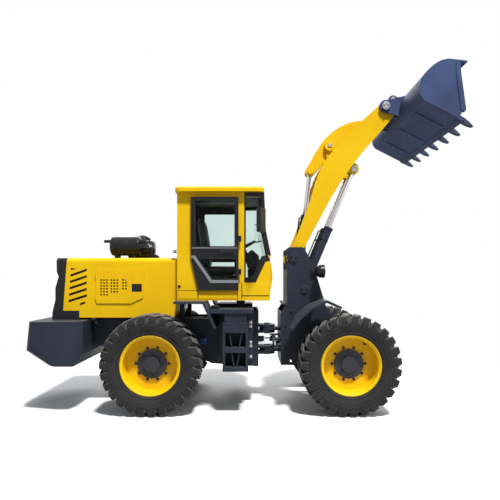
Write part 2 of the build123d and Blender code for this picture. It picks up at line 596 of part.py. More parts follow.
HUMP = [(527, 3062), (640, 3260), (745, 3420), (894, 3560), (1065, 3655), (1215, 3690)]
BELLY = [(1284, 3540), (1090, 3420), (918, 3300), (772, 3150), (625, 2986)]
with BuildPart() as rocker:
    with BuildSketch(Plane.XZ) as lever:
        with BuildLine():
            top = Spline(*HUMP)
            bottom = Spline(*BELLY)
            ThreePointArc(top @ 1, (1308, 3636), bottom @ 0)
            ThreePointArc(bottom @ 1, (538, 2975), top @ 0)
        make_face()
    for side in (-1, 1):
        with Locations((0, max(sided((55, 80), side)), 0)):
            add(extrude(lever.sketch, amount=25, mode=Mode.PRIVATE))
        for centre in (TILT_EYE, ROCKER_END):
            disc(centre, 42, *sided((80, 90), side))
    disc(ROCKER_PIN, 80, -55, 55)
    disc(ROCKER_PIN, PIN_R + FIT, -81, 81, mode=Mode.SUBTRACT)
NODES["rocker"] = rocker

with BuildPart() as link:
    plate(capsule(ROCKER_END, LINK_EYE, 58, 52), -48, 48)
    disc(ROCKER_END, 28, -49, 49, mode=Mode.SUBTRACT)
    disc(LINK_EYE, PIN_R + FIT, -49, 49, mode=Mode.SUBTRACT)
NODES["link"] = link

# bucket shell, hinge ears, cutting edge, wear strips and teeth
SHELL_OUT = [(60, 0), (-32, 62), (-78, 200), (-48, 355), (10, 470), (103, 552)]
SHELL_IN = [(112, 535), (25, 458), (-31, 348), (-60, 200), (-18, 72), (64, 18)]
SIDE_FRONT = [(200, 588), (258, 459), (504, 104), (504, 0)]
CUTTER = [(216, 596), (180, 560), (240, 440), (480, 92), (528, 92), (530, 120), (286, 470)]
TOOTH = [(500, -14), (640, -14), (698, -2), (640, 22), (560, 40), (500, 40)]
STRIP_U = (90, 470)
SIDE_FACE = BUCKET_HALF - 8
with BuildPart() as bucket:
    with BuildSketch(Plane.XZ.offset(-SIDE_FACE)) as shell:
        with BuildLine():
            back = Spline(*[bucket_point(*p) for p in SHELL_OUT])
            inside = Spline(*[bucket_point(*p) for p in SHELL_IN])
            Polyline(back @ 1, bucket_point(293, 623), bucket_point(299, 606), inside @ 0)
            Polyline(inside @ 1, bucket_point(540, BUCKET_PLATE), bucket_point(575, 0), back @ 0)
        make_face()
    extrude(shell.sketch, amount=2 * SIDE_FACE)
    for side in (-1, 1):
        with BuildSketch(Plane.XZ.offset(-max(sided((SIDE_FACE - 22, SIDE_FACE), side)))) as cheek:
            with BuildLine():
                back = Spline(*[bucket_point(*p) for p in SHELL_OUT])
                Polyline(back @ 1, *[bucket_point(*p) for p in SIDE_FRONT], back @ 0)
            make_face()
        extrude(cheek.sketch, amount=22)
        plate([bucket_point(*p) for p in CUTTER], *sided((SIDE_FACE - 30, BUCKET_HALF), side))
        pin_local = (-BUCKET_HEEL[0], -BUCKET_HEEL[1])
        lug = round_end(pin_local, 80, 100, 270) + [(5, 34), (-62, 200), (-46, 310)]
        for y in ((195, 228), (302, 335)):
            plate([bucket_point(*p) for p in lug], *sided(y, side))
            disc(BUCKET_PIN, PIN_R + FIT, *sided((y[0] - 1, y[1] + 1), side), mode=Mode.SUBTRACT)
        eye_local = (-158, 289)
        ear = round_end(eye_local, 62, 70, 260) + [(-62, 205), (-20, 385)]
        plate([bucket_point(*p) for p in ear], *sided((55, 80), side))
        disc(LINK_EYE, PIN_R + FIT, *sided((54, 81), side), mode=Mode.SUBTRACT)
    for y in (-0.6 * BUCKET_HALF, 0, 0.6 * BUCKET_HALF):
        strip = [(STRIP_U[0], 1), (STRIP_U[1], 1), (STRIP_U[1] - 12, -11), (STRIP_U[0] + 12, -11)]
        plate([bucket_point(*p) for p in strip], y - 60, y + 60)
    edge_strip = [(485, 1), (560, 1), (560, -12), (500, -12)]
    plate([bucket_point(*p) for p in edge_strip], -SIDE_FACE, SIDE_FACE)
    for i in range(TEETH):
        y = -BUCKET_HALF + 60 + i * (2 * BUCKET_HALF - 120) / (TEETH - 1)
        plate([bucket_point(*p) for p in TOOTH], y - TOOTH_HALF, y + TOOTH_HALF)
NODES["bucket"] = bucket

# hydraulic cylinders
with BuildPart() as lift_barrels:
    for side in (-1, 1):
        y = side * LIFT_Y
        disc(LIFT_BASE, 62, *sided((LIFT_Y - 40, LIFT_Y + 40), side))
        bar(LIFT_BASE, LIFT_EYE, y, 50, 880, 55)
        bar(LIFT_BASE, LIFT_EYE, y, 850, 880, 60)
        bar(LIFT_BASE, LIFT_EYE, y, 90, 855, 41, mode=Mode.SUBTRACT)
        bar(LIFT_BASE, LIFT_EYE, y, 850, 881, LIFT_ROD_R + FIT, mode=Mode.SUBTRACT)
        disc(LIFT_BASE, PIN_R + FIT, *sided((LIFT_Y - 41, LIFT_Y + 41), side), mode=Mode.SUBTRACT)
NODES["lift_barrels"] = lift_barrels

LIFT_LEN = hypot(LIFT_EYE[0] - LIFT_BASE[0], LIFT_EYE[1] - LIFT_BASE[1])
with BuildPart() as lift_rods:
    for side in (-1, 1):
        bar(LIFT_BASE, LIFT_EYE, side * LIFT_Y, 790, LIFT_LEN - 35, LIFT_ROD_R)
        bar(LIFT_BASE, LIFT_EYE, side * LIFT_Y, 790, 835, 41 - GAP)
        disc(LIFT_EYE, 52, *sided((LIFT_Y - 30, LIFT_Y + 30), side))
        disc(LIFT_EYE, 28, *sided((LIFT_Y - 31, LIFT_Y + 31), side), mode=Mode.SUBTRACT)
NODES["lift_rods"] = lift_rods

TILT_LEN = hypot(TILT_EYE[0] - TILT_BASE[0], TILT_EYE[1] - TILT_BASE[1])
with BuildPart() as tilt_barrel:
    disc(TILT_BASE, 62, -50, 50)
    bar(TILT_BASE, TILT_EYE, 0, 50, 700, 55)
    bar(TILT_BASE, TILT_EYE, 0, 90, 675, 41, mode=Mode.SUBTRACT)
    bar(TILT_BASE, TILT_EYE, 0, 670, 701, 30 + FIT, mode=Mode.SUBTRACT)
    disc(TILT_BASE, PIN_R + FIT, -51, 51, mode=Mode.SUBTRACT)
NODES["tilt_barrel"] = tilt_barrel

with BuildPart() as tilt_rod:
    bar(TILT_BASE, TILT_EYE, 0, 480, TILT_LEN - 35, 30)
    bar(TILT_BASE, TILT_EYE, 0, 480, 525, 41 - GAP)
    disc(TILT_EYE, 52, -44, 44)
    disc(TILT_EYE, 30, -45, 45, mode=Mode.SUBTRACT)
NODES["tilt_rod"] = tilt_rod

for name, side in SIDES.items():
    base, eye = (STEER_BASE_X, side * STEER_Y), (STEER_EYE_X, side * STEER_Y)
    with BuildPart() as steer_barrel:
        post(base, 40, STEER_Z - 35, STEER_Z + 35)
        flat_bar(base, eye, STEER_Z, 30, 400, 40)
        flat_bar(base, eye, STEER_Z, 60, 385, 30, mode=Mode.SUBTRACT)
        flat_bar(base, eye, STEER_Z, 380, 401, 20 + FIT, mode=Mode.SUBTRACT)
        post(base, 22 + FIT, STEER_Z - 36, STEER_Z + 36, mode=Mode.SUBTRACT)
    NODES["steer_barrel_" + name] = steer_barrel
    with BuildPart() as steer_rod:
        flat_bar(base, eye, STEER_Z, 205, STEER_EYE_X - STEER_BASE_X - 25, 20)
        flat_bar(base, eye, STEER_Z, 205, 232, 30 - GAP)
        post(eye, 36, STEER_Z - 28, STEER_Z + 28)
        post(eye, 18, STEER_Z - 29, STEER_Z + 29, mode=Mode.SUBTRACT)
    NODES["steer_rod_" + name] = steer_rod

# wheels: tyre with lugs, rim, hub
half = TYRE_W / 2
LUG_PLAN = [(-25, 12), (35, 12), (5, 196), (-55, 196)]
with BuildPart() as tyre_shape:
    with BuildSketch(Plane.XY) as sk:
        with BuildLine():
            wall = [(BEAD_R, 160), (352, 176), (440, half), (515, 198), (CROWN_R, 150)]
            Polyline(*wall, *[(r, -w) for r, w in reversed(wall)], close=True)
        make_face()
    revolve(sk.sketch, axis=Axis.Y)
    for side in (-1, 1):
        for i in range(LUGS):
            turn = 360 / LUGS * (i + (0.25 if side > 0 else 0.75))
            lug_plane = Plane(origin=(0, 0, 0), x_dir=(1, 0, 0), z_dir=(0, 0, 1)).rotated((0, turn, 0))
            with BuildSketch(lug_plane.offset(CROWN_R - 12)) as sk:
                with BuildLine():
                    Polyline(*[(x, side * y) for x, y in LUG_PLAN], close=True)
                make_face()
            extrude(sk.sketch, amount=TYRE_R * cos(radians(LUG_HALF_ANGLE)) - CROWN_R + 12)

with BuildPart() as rim_shape:
    with BuildSketch(Plane.XY) as sk:
        with BuildLine():
            dish = [(BEAD_R, 160), (352, 176), (345, 182), (316, 165)]
            web = [(312, 10), (HUB_R, 10), (HUB_R, -14), (312, -14)]
            Polyline(*dish, *web, *[(r, -w) for r, w in reversed(dish)], close=True)
        make_face()
    revolve(sk.sketch, axis=Axis.Y)

with BuildPart() as hub_shape:
    disc((0, 0), HUB_R, -70, 40)
    disc((0, 0), 95, 40, 75)
    disc((0, 0), SPINDLE_R + FIT, -71, -18, mode=Mode.SUBTRACT)

for end, axle_x in (("front", FRONT_X), ("rear", REAR_X)):
    for name, side in SIDES.items():
        spot = Location((axle_x, side * TRACK / 2, AXLE_Z), (0, 0, 0 if side > 0 else 180))
        for kind, shape in (("tyre", tyre_shape), ("rim", rim_shape), ("hub", hub_shape)):
            with BuildPart() as wheel_piece:
                add(shape.part.moved(spot))
            NODES[f"{kind}_{end}_{name}"] = wheel_piece

os.makedirs("parts", exist_ok=True)
for name, node in NODES.items():
    piece = node.part.moved(Location((ORIGIN_X, 0, 0)))
    piece.label = name
    export_step(piece, f"parts/{name}.step")
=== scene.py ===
import json
import math

import bmesh
import bpy
from mathutils import Matrix, Vector


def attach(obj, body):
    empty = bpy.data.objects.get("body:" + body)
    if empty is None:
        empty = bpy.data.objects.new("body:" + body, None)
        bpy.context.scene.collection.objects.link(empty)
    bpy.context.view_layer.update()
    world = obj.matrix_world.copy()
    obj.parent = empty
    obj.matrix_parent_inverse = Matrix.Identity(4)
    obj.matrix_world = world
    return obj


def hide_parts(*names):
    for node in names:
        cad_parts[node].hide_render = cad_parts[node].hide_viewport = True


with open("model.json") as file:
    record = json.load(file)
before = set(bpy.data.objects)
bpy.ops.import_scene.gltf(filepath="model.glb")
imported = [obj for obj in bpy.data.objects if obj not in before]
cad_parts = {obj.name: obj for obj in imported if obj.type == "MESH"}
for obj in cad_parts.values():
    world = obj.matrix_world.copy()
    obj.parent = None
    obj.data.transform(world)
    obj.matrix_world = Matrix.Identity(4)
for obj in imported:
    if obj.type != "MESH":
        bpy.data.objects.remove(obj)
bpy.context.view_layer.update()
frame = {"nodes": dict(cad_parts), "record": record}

NODES = frame["nodes"]

# side-view places are written in millimetres from the articulation axis, as in the part's source
AXIS_X = 0.283
SIDES = {"right": -1, "left": 1}


def at(x, y, z):
    """Frame point in metres from millimetres measured at the articulation axis."""
    return Vector((x / 1000 + AXIS_X, y / 1000, z / 1000))


def sided(side, a, b):
    """The y range between two distances from the middle plane, on one side."""
    return sorted((side * a, side * b))


def around(count):
    """Angles of evenly spaced places round a circle."""
    return [2 * math.pi * k / count for k in range(count)]


# ---- shader helpers -----------------------------------------------------------------------------

NOISE_ROUGH = 0.55
NOISE_LOW, NOISE_HIGH = 0.3, 0.7  # most of a noise texture's values lie between these
CORNER_SAMPLES, RUB_SAMPLES = 4, 6


def new_material(name):
    mat = bpy.data.materials.new(name)
    mat.use_nodes = True
    tree = mat.node_tree
    return mat, tree, tree.nodes["Principled BSDF"]


def coordinates(tree, scale=(1, 1, 1)):
    """Object coordinates in metres, stretched where a finish has a direction."""
    source = tree.nodes.new("ShaderNodeTexCoord")
    mapping = tree.nodes.new("ShaderNodeMapping")
    mapping.inputs["Scale"].default_value = scale
    tree.links.new(source.outputs["Object"], mapping.inputs["Vector"])
    return mapping.outputs["Vector"]


def noise(tree, vector, scale, detail=4.0):
    node = tree.nodes.new("ShaderNodeTexNoise")
    node.inputs["Scale"].default_value = scale
    node.inputs["Detail"].default_value = detail
    node.inputs["Roughness"].default_value = NOISE_ROUGH
    tree.links.new(vector, node.inputs["Vector"])
    return node.outputs["Fac"]


def ramp(tree, value, stops):
    node = tree.nodes.new("ShaderNodeValToRGB")
    band = node.color_ramp
    while len(band.elements) < len(stops):
        band.elements.new(0.5)
    for element, (place, colour) in zip(band.elements, stops):
        element.position = place
        element.color = (*colour, 1)
    tree.links.new(value, node.inputs["Fac"])
    return node.outputs["Color"]


def remap(tree, value, start, end, low=0.0, high=1.0):
    """Map start-end of a value to low-high."""
    node = tree.nodes.new("ShaderNodeMapRange")
    for name, number in (("From Min", start), ("From Max", end), ("To Min", low), ("To Max", high)):
        node.inputs[name].default_value = number
    tree.links.new(value, node.inputs["Value"])
    return node.outputs["Result"]


def span(tree, value, low, high):
    """Map a noise value to low-high."""
    return remap(tree, value, NOISE_LOW, NOISE_HIGH, low, high)


def join(tree, operation, a, b):
    """Two values through a math node."""
    node = tree.nodes.new("ShaderNodeMath")
    node.operation = operation
    tree.links.new(a, node.inputs[0])
    tree.links.new(b, node.inputs[1])
    return node.outputs["Value"]


def measure(tree, operation, a, b=None):
    """One number from one vector or two; the second may be a constant."""
    node = tree.nodes.new("ShaderNodeVectorMath")
    node.operation = operation
    tree.links.new(a, node.inputs[0])
    if isinstance(b, tuple):
        node.inputs[1].default_value = b
    elif b is not None:
        tree.links.new(b, node.inputs[1])
    return node.outputs["Value"]


def mix(tree, fac, a, b):
    """Blend two colours, each a constant or a node's output."""
    node = tree.nodes.new("ShaderNodeMix")
    node.data_type = "RGBA"
    tree.links.new(fac, node.inputs[0])
    for socket, value in ((6, a), (7, b)):
        if isinstance(value, tuple):
            node.inputs[socket].default_value = (*value, 1)
        else:
            tree.links.new(value, node.inputs[socket])
    return node.outputs[2]


def softened_normal(tree, radius, samples):
    node = tree.nodes.new("ShaderNodeBevel")
    node.samples = samples
    node.inputs["Radius"].default_value = radius
    return node.outputs["Normal"]


def bump(tree, shader, height, strength, distance, corner):
    """Surface relief, with corners softened by a radius in metres."""
    node = tree.nodes.new("ShaderNodeBump")
    node.inputs["Strength"].default_value = strength
    node.inputs["Distance"].default_value = distance
    tree.links.new(height, node.inputs["Height"])
    tree.links.new(softened_normal(tree, corner, CORNER_SAMPLES), node.inputs["Normal"])
    tree.links.new(node.outputs["Normal"], shader.inputs["Normal"])


def dust_mask(tree, vector):
    """Settled dust: more on faces that look up, broken by noise."""
    geometry = tree.nodes.new("ShaderNodeNewGeometry")
    parts = tree.nodes.new("ShaderNodeSeparateXYZ")
    tree.links.new(geometry.outputs["Normal"], parts.inputs["Vector"])
    up = remap(tree, parts.outputs["Z"], 0.2, 1.0, 0.0, 0.40)
    return join(tree, "MULTIPLY", up, noise(tree, vector, 9.0, 6.0))


def rubbed_edges(tree, radius):
    """1 along sharp edges, from how far a softened normal turns away from the face."""
    geometry = tree.nodes.new("ShaderNodeNewGeometry")
    soft = softened_normal(tree, radius, RUB_SAMPLES)
    facing = measure(tree, "DOT_PRODUCT", soft, geometry.outputs["Normal"])
    return remap(tree, facing, 0.97, 0.82)


# ---- materials ----------------------------------------------------------------------------------

YELLOW, YELLOW_DEEP = (0.80, 0.490, 0.004), (0.74, 0.440, 0.003)
STRUCTURE, STRUCTURE_DEEP = (0.026, 0.031, 0.047), (0.018, 0.022, 0.034)
BLACK, BLACK_DEEP = (0.012, 0.012, 0.015), (0.009, 0.009, 0.011)
CAST, CAST_DEEP = (0.075, 0.078, 0.085), (0.05, 0.05, 0.056)
HUB, HUB_DEEP = (0.022, 0.023, 0.028), (0.015, 0.016, 0.020)
BLUE, BLUE_DEEP = (0.015, 0.12, 0.42), (0.012, 0.08, 0.3)
BUCKET_BLUE, BUCKET_DARK = (0.056, 0.085, 0.188), (0.040, 0.054, 0.112)
WORN_STEEL, WORN_PALE = (0.030, 0.032, 0.042), (0.085, 0.088, 0.10)
RUBBER, RUBBER_PALE = (0.016, 0.016, 0.018), (0.030, 0.029, 0.029)
PLASTIC, PLASTIC_PALE = (0.022, 0.022, 0.024), (0.032, 0.032, 0.034)
VINYL, VINYL_PALE = (0.026, 0.026, 0.029), (0.04, 0.04, 0.043)
SEAL, SEAL_PALE = (0.012, 0.012, 0.013), (0.02, 0.02, 0.02)
GREY, GREY_PALE = (0.20, 0.205, 0.23), (0.25, 0.255, 0.28)
DUST = (0.17, 0.16, 0.15)
TREAD_DUST = (0.19, 0.18, 0.165)
PAINT_CORNER, GRAIN_CORNER, METAL_CORNER = 0.004, 0.003, 0.002
MATT_SHINE, BUCKET_SHINE = 0.15, 0.08
COAT_ROUGH = 0.12
PANE_IOR = 1.08  # thin panes hardly bend what is seen through them
# radii in metres between which the tread's dust and the lugs' rubbed edges set in
RUNNING_FACE, SHOULDER = (0.574, 0.585), (0.462, 0.520)
LUG_RUB = 0.012
# the bucket's floor slopes by this, and its paint is worn off between these reaches along it
BUCKET_TILT = math.radians(27)
EDGE_WEAR = (0.60, 0.66)


def paint(name, colour, dark, rough, coat, dust=None, sheen=0.3):
    """Sprayed machine paint: slow colour drift, orange peel, soft corners and a little dust."""
    mat, tree, shader = new_material(name)
    vector = coordinates(tree)
    tone = ramp(tree, noise(tree, vector, 2.2, 5.0), ((0.3, dark), (0.62, colour)))
    if dust:
        tone = mix(tree, dust_mask(tree, vector), tone, dust)
    tree.links.new(tone, shader.inputs["Base Color"])
    tree.links.new(span(tree, noise(tree, vector, 14.0), *rough), shader.inputs["Roughness"])
    bump(tree, shader, noise(tree, vector, 420.0, 2.0), 0.06, 0.001, PAINT_CORNER)
    shader.inputs["Coat Weight"].default_value = coat
    shader.inputs["Coat Roughness"].default_value = COAT_ROUGH
    shader.inputs["Specular IOR Level"].default_value = sheen
    return mat


def matt_grain(tree, shader, vector, rough, grain, depth):
    """Fine pebble grain with little shine."""
    tree.links.new(span(tree, noise(tree, vector, 30.0), *rough), shader.inputs["Roughness"])
    cells = tree.nodes.new("ShaderNodeTexVoronoi")
    cells.inputs["Scale"].default_value = grain
    tree.links.new(vector, cells.inputs["Vector"])
    bump(tree, shader, cells.outputs["Distance"], depth, 0.001, GRAIN_CORNER)
    shader.inputs["Specular IOR Level"].default_value = MATT_SHINE


def moulded(name, colour, light, rough, grain, depth):
    """Moulded plastic, vinyl or rubber."""
    mat, tree, shader = new_material(name)
    vector = coordinates(tree)
    tone = ramp(tree, noise(tree, vector, 6.0, 6.0), ((0.3, colour), (0.72, light)))
    tree.links.new(tone, shader.inputs["Base Color"])
    matt_grain(tree, shader, vector, rough, grain, depth)
    return mat


def tyre_finish():
    """Rubber with a fine grain, pale with dust on the running tops and the edges of the lugs."""
    mat, tree, shader = new_material("tyre_rubber_dusty")
    vector = coordinates(tree)
    rubber = ramp(tree, noise(tree, vector, 6.0, 6.0), ((0.3, RUBBER), (0.72, RUBBER_PALE)))
    radius = measure(tree, "LENGTH", coordinates(tree, (1, 0, 1)))
    patches = span(tree, noise(tree, vector, 16.0, 6.0), 0.35, 1.0)
    worn = join(tree, "MULTIPLY", remap(tree, radius, *RUNNING_FACE), patches)
    rubbed = join(tree, "MULTIPLY", remap(tree, radius, *SHOULDER), rubbed_edges(tree, LUG_RUB))
    dusty = join(tree, "MAXIMUM", worn, rubbed)
    tree.links.new(mix(tree, dusty, rubber, TREAD_DUST), shader.inputs["Base Color"])
    matt_grain(tree, shader, vector, (0.66, 0.84), 520, 0.14)
    return mat


def metal(name, colour, dark, rough, stretch):
    """Ground or plated steel with fine marks along one direction."""
    mat, tree, shader = new_material(name)
    vector = coordinates(tree, stretch)
    tone = ramp(tree, noise(tree, vector, 40.0, 3.0), ((0.3, dark), (0.7, colour)))
    tree.links.new(tone, shader.inputs["Base Color"])
    tree.links.new(span(tree, noise(tree, vector, 90.0), *rough), shader.inputs["Roughness"])
    bump(tree, shader, noise(tree, vector, 300.0, 2.0), 0.04, 0.0005, METAL_CORNER)
    shader.inputs["Metallic"].default_value = 1.0
    return mat


def glass(name, colour, light, rough):
    """Clear or tinted pane."""
    mat, tree, shader = new_material(name)
    vector = coordinates(tree)
    tone = ramp(tree, noise(tree, vector, 1.5, 3.0), ((0.3, colour), (0.7, light)))
    tree.links.new(tone, shader.inputs["Base Color"])
    tree.links.new(span(tree, noise(tree, vector, 8.0), *rough), shader.inputs["Roughness"])
    shader.inputs["Transmission Weight"].default_value = 1.0
    shader.inputs["IOR"].default_value = PANE_IOR
    return mat


def bucket_finish():
    """Dark paint worn to steel towards the cutting edge, scraped along the digging direction."""
    mat, tree, shader = new_material("bucket_worn_paint")
    vector = coordinates(tree)
    painted = ramp(tree, noise(tree, vector, 2.0, 5.0), ((0.3, BUCKET_DARK), (0.65, BUCKET_BLUE)))
    scraped = noise(tree, coordinates(tree, (6, 40, 6)), 14.0, 4.0)
    steel = ramp(tree, scraped, ((0.3, WORN_STEEL), (0.7, WORN_PALE)))
    digging = (math.cos(BUCKET_TILT), 0, -math.sin(BUCKET_TILT))
    reach = remap(tree, measure(tree, "DOT_PRODUCT", vector, digging), *EDGE_WEAR)
    patch = join(tree, "MULTIPLY", reach, span(tree, noise(tree, vector, 26.0, 7.0), 0.0, 1.0))
    tree.links.new(mix(tree, patch, painted, steel), shader.inputs["Base Color"])
    tree.links.new(span(tree, noise(tree, vector, 18.0), 0.58, 0.72), shader.inputs["Roughness"])
    bump(tree, shader, noise(tree, vector, 160.0, 4.0), 0.08, 0.001, PAINT_CORNER)
    shader.inputs["Specular IOR Level"].default_value = BUCKET_SHINE
    return mat


MATERIALS = {
    "yellow_paint": paint("yellow_machine_paint", YELLOW, YELLOW_DEEP, (0.32, 0.44), 0.03, sheen=0.15),
    "structure_paint": paint("dark_frame_paint", STRUCTURE, STRUCTURE_DEEP, (0.42, 0.56), 0.0, DUST, 0.14),
    "black_paint": paint("black_semi_gloss", BLACK, BLACK_DEEP, (0.28, 0.40), 0.0, sheen=0.2),
    "cast_grey": paint("cast_iron_paint", CAST, CAST_DEEP, (0.5, 0.66), 0.0, DUST),
    "bucket_paint": bucket_finish(),
    "hub_paint": paint("hub_grey_paint", HUB, HUB_DEEP, (0.42, 0.56), 0.02),
    "tyre_rubber": tyre_finish(),
    "trim_plastic": moulded("cab_trim_plastic", PLASTIC, PLASTIC_PALE, (0.5, 0.64), 700, 0.12),
    "seat_vinyl": moulded("seat_vinyl_grain", VINYL, VINYL_PALE, (0.42, 0.56), 460, 0.2),
    "rubber_seal": moulded("black_rubber_seal", SEAL, SEAL_PALE, (0.6, 0.75), 600, 0.1),
    "grey_trim": moulded("light_grey_trim", GREY, GREY_PALE, (0.4, 0.5), 500, 0.06),
    "clear_glass": glass("tinted_cab_glass", (0.74, 0.84, 0.82), (0.80, 0.89, 0.86), (0.0, 0.03)),
    "lamp_lens": glass("lamp_lens_clear", (0.86, 0.88, 0.9), (0.95, 0.96, 0.97), (0.05, 0.12)),
    "chrome_rod": metal("chrome_plated_rod", (0.62, 0.63, 0.66), (0.52, 0.53, 0.56), (0.10, 0.20), (1, 1, 20)),
    "pin_steel": metal("ground_pin_steel", (0.42, 0.41, 0.40), (0.30, 0.29, 0.28), (0.3, 0.45), (30, 2, 30)),
    "zinc_bolt": metal("zinc_plated_bolt", (0.15, 0.145, 0.14), (0.10, 0.098, 0.092), (0.3, 0.42), (4, 4, 4)),
    "mirror_face": metal("mirror_silver", (0.88, 0.89, 0.9), (0.84, 0.85, 0.86), (0.02, 0.05), (1, 1, 1)),
    "blue_valve": paint("blue_valve_enamel", BLUE, BLUE_DEEP, (0.34, 0.46), 0.2),
}


def dress_nodes():
    """Give each CAD node the material of its slot."""
    for part in frame["record"]["subparts"]:
        mesh = NODES[part["node"]].data
        mesh.materials.clear()
        mesh.materials.append(MATERIALS[part["material_slot"]])


# ---- mesh helpers -------------------------------------------------------------------------------

BEVEL_ANGLE = math.radians(40)
BEVEL_STEPS = 2


def shade_smooth(mesh, degrees):
    """Smooth shading, with edges sharper than an angle kept sharp."""
    for polygon in mesh.polygons:
        polygon.use_smooth = True
    mesh.set_sharp_from_angle(angle=math.radians(degrees))


def finish_piece(name, bm, body, slot, finish=None, smooth=None, bevel=0.0):
    """Turn a bmesh into a named piece that rides on a body."""
    bmesh.ops.recalc_face_normals(bm, faces=bm.faces)
    if bevel:
        sharp = [e for e in bm.edges if e.is_manifold and e.calc_face_angle(0) > BEVEL_ANGLE]
        bmesh.ops.bevel(bm, geom=sharp, offset=bevel, segments=BEVEL_STEPS, affect="EDGES", clamp_overlap=True)
    mesh = bpy.data.meshes.new(name)
    bm.to_mesh(mesh)
    bm.free()
    mesh.materials.append(MATERIALS[finish or slot])
    obj = bpy.data.objects.new(name, mesh)
    bpy.context.scene.collection.objects.link(obj)
    if smooth:
        shade_smooth(mesh, smooth)
    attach(obj, body)
    return obj


def stitch(bm, rows):
    """Quads between neighbouring closed rows of vertices."""
    for lower, upper in zip(rows, rows[1:]):
        for k in range(len(lower)):
            n = (k + 1) % len(lower)
            bm.faces.new((lower[k], upper[k], upper[n], lower[n]))


def close_ends(bm, rows):
    bm.faces.new(rows[0])
    bm.faces.new(list(reversed(rows[-1])))


def add_ring(bm, centre, side, up, radius, steps):
    """Circle of vertices in the plane of side and up; the radius is in mm."""
    return [bm.verts.new(centre + (side * math.cos(a) + up * math.sin(a)) * radius / 1000)
            for a in around(steps)]


def add_prism(bm, points, y0, y1):
    """Side-view outline (mm) between two y values."""
    rows = [[bm.verts.new(at(x, y, z)) for x, z in points] for y in (y0, y1)]
    close_ends(bm, rows)
    stitch(bm, rows)


def add_band(bm, inner, outer, y0, y1):
    """Closed frame between two side-view loops with equal point counts."""
    rings = [[bm.verts.new(at(x, y, z)) for x, z in loop] for loop in (inner, outer) for y in (y0, y1)]
    in0, in1, out0, out1 = rings
    count = len(inner)
    for i in range(count):
        j = (i + 1) % count
        bm.faces.new((in0[i], out0[i], out0[j], in0[j]))
        bm.faces.new((in1[i], in1[j], out1[j], out1[i]))
        bm.faces.new((in0[i], in0[j], in1[j], in1[i]))
        bm.faces.new((out0[i], out1[i], out1[j], out0[j]))


def add_box(bm, x, y, z):
    lo, hi = at(x[0], y[0], z[0]), at(x[1], y[1], z[1])
    corners = [bm.verts.new((a, b, c)) for a in (lo.x, hi.x) for b in (lo.y, hi.y) for c in (lo.z, hi.z)]
    for f in ((0, 1, 3, 2), (4, 6, 7, 5), (0, 4, 5, 1), (2, 3, 7, 6), (0, 2, 6, 4), (1, 5, 7, 3)):
        bm.faces.new([corners[i] for i in f])


def add_plate(bm, x, z, y0, y1):
    """Box whose side view is given first."""
    add_box(bm, x, (y0, y1), z)


def add_turned(bm, origin, axis, profile, steps, ring=False):
    """Turned solid, or a ring with an open bore: profile rows are (distance along the axis, radius) in mm."""
    axis = Vector(axis).normalized()
    side = axis.orthogonal().normalized()
    up = axis.cross(side)
    rows = [add_ring(bm, origin + axis * along / 1000, side, up, radius, steps) for along, radius in profile]
    if ring:
        rows.append(rows[0])
    else:
        close_ends(bm, rows)
    stitch(bm, rows)


def add_bolt(bm, origin, axis, flats, height):
    """Hexagon head with a washer."""
    washer = flats * 0.85
    add_turned(bm, origin, axis, ((0, washer), (height * 0.2, washer)), 16)
    head = flats * 0.57
    add_turned(bm, origin + Vector(axis).normalized() * height * 0.0002, axis,
               ((0, head), (height * 0.75, head), (height * 0.85, flats * 0.48)), 6)


def add_tube(bm, points, radius, steps=10):
    """Round bar along a list of frame points, closed at the ends."""
    rings = []
    last = len(points) - 1
    for i, point in enumerate(points):
        ahead = points[min(i + 1, last)] - points[max(i - 1, 0)]
        ahead.normalize()
        side = ahead.cross(Vector((0, 1, 0)))
        if side.length < 0.2:
            side = ahead.cross(Vector((0, 0, 1)))
        side.normalize()
        rings.append(add_ring(bm, point, side, ahead.cross(side), radius, steps))
    close_ends(bm, rings)
    stitch(bm, rings)


# ---- wheels -------------------------------------------------------------------------------------

TYRE_R = 587.5
TYRE_STEPS = 104
TYRE_CREASE = 32
LUGS = 27
LUG_STAGGER = {-1: 0.75, 1: 0.25}  # where the first lug of each side starts, in lug pitches
LUG_DRAFT, LUG_CORNER = 8, 6
WHEEL_X = {"front": 935.0, "rear": -1385.0}
HALF_TRACK = 785.0
# tyre section from the bead to the crown: radius, half width
SECTION = ((331, 158), (338, 166), (350, 175), (366, 183), (374, 190), (384, 191), (390, 189), (412, 198),
           (440, 204.5), (470, 204), (476, 206), (486, 206), (492, 202.5), (515, 196), (534, 183), (546, 165),
           (551, 140), (553, 90), (553.5, 40))
# lug stations from the centre to the shoulder: half-width place, top radius, root radius, skew, half length
LUG_STATIONS = ((8, 586.5, 546, 44, 33), (55, 587.5, 546, 30, 36), (105, 587.2, 544, 8, 39),
                (150, 586.5, 538, -14, 40), (182, 583, 524, -24, 39), (199, 574, 505, -28, 38),
                (206, 552, 485, -29, 37), (208, 520, 470, -29, 35), (206.5, 488, 464, -29, 32))
# rings of nuts on the rim and the hub: pitch radius, count, place outside the track, flats, height
NUT_RINGS = ((196, 10, 10, 21, 18), (128, 8, 40, 14, 9))
VALVE_R, VALVE_OUT, VALVE_TURN = 296, 8, math.radians(52)
VALVE_PROFILE = ((0, 12), (16, 10), (18, 6), (60, 6), (60.5, 8), (74, 8))


def turned_point(radius, width, angle):
    """Point about a wheel's own axle, in metres."""
    return radius * math.cos(angle) / 1000, width / 1000, radius * math.sin(angle) / 1000


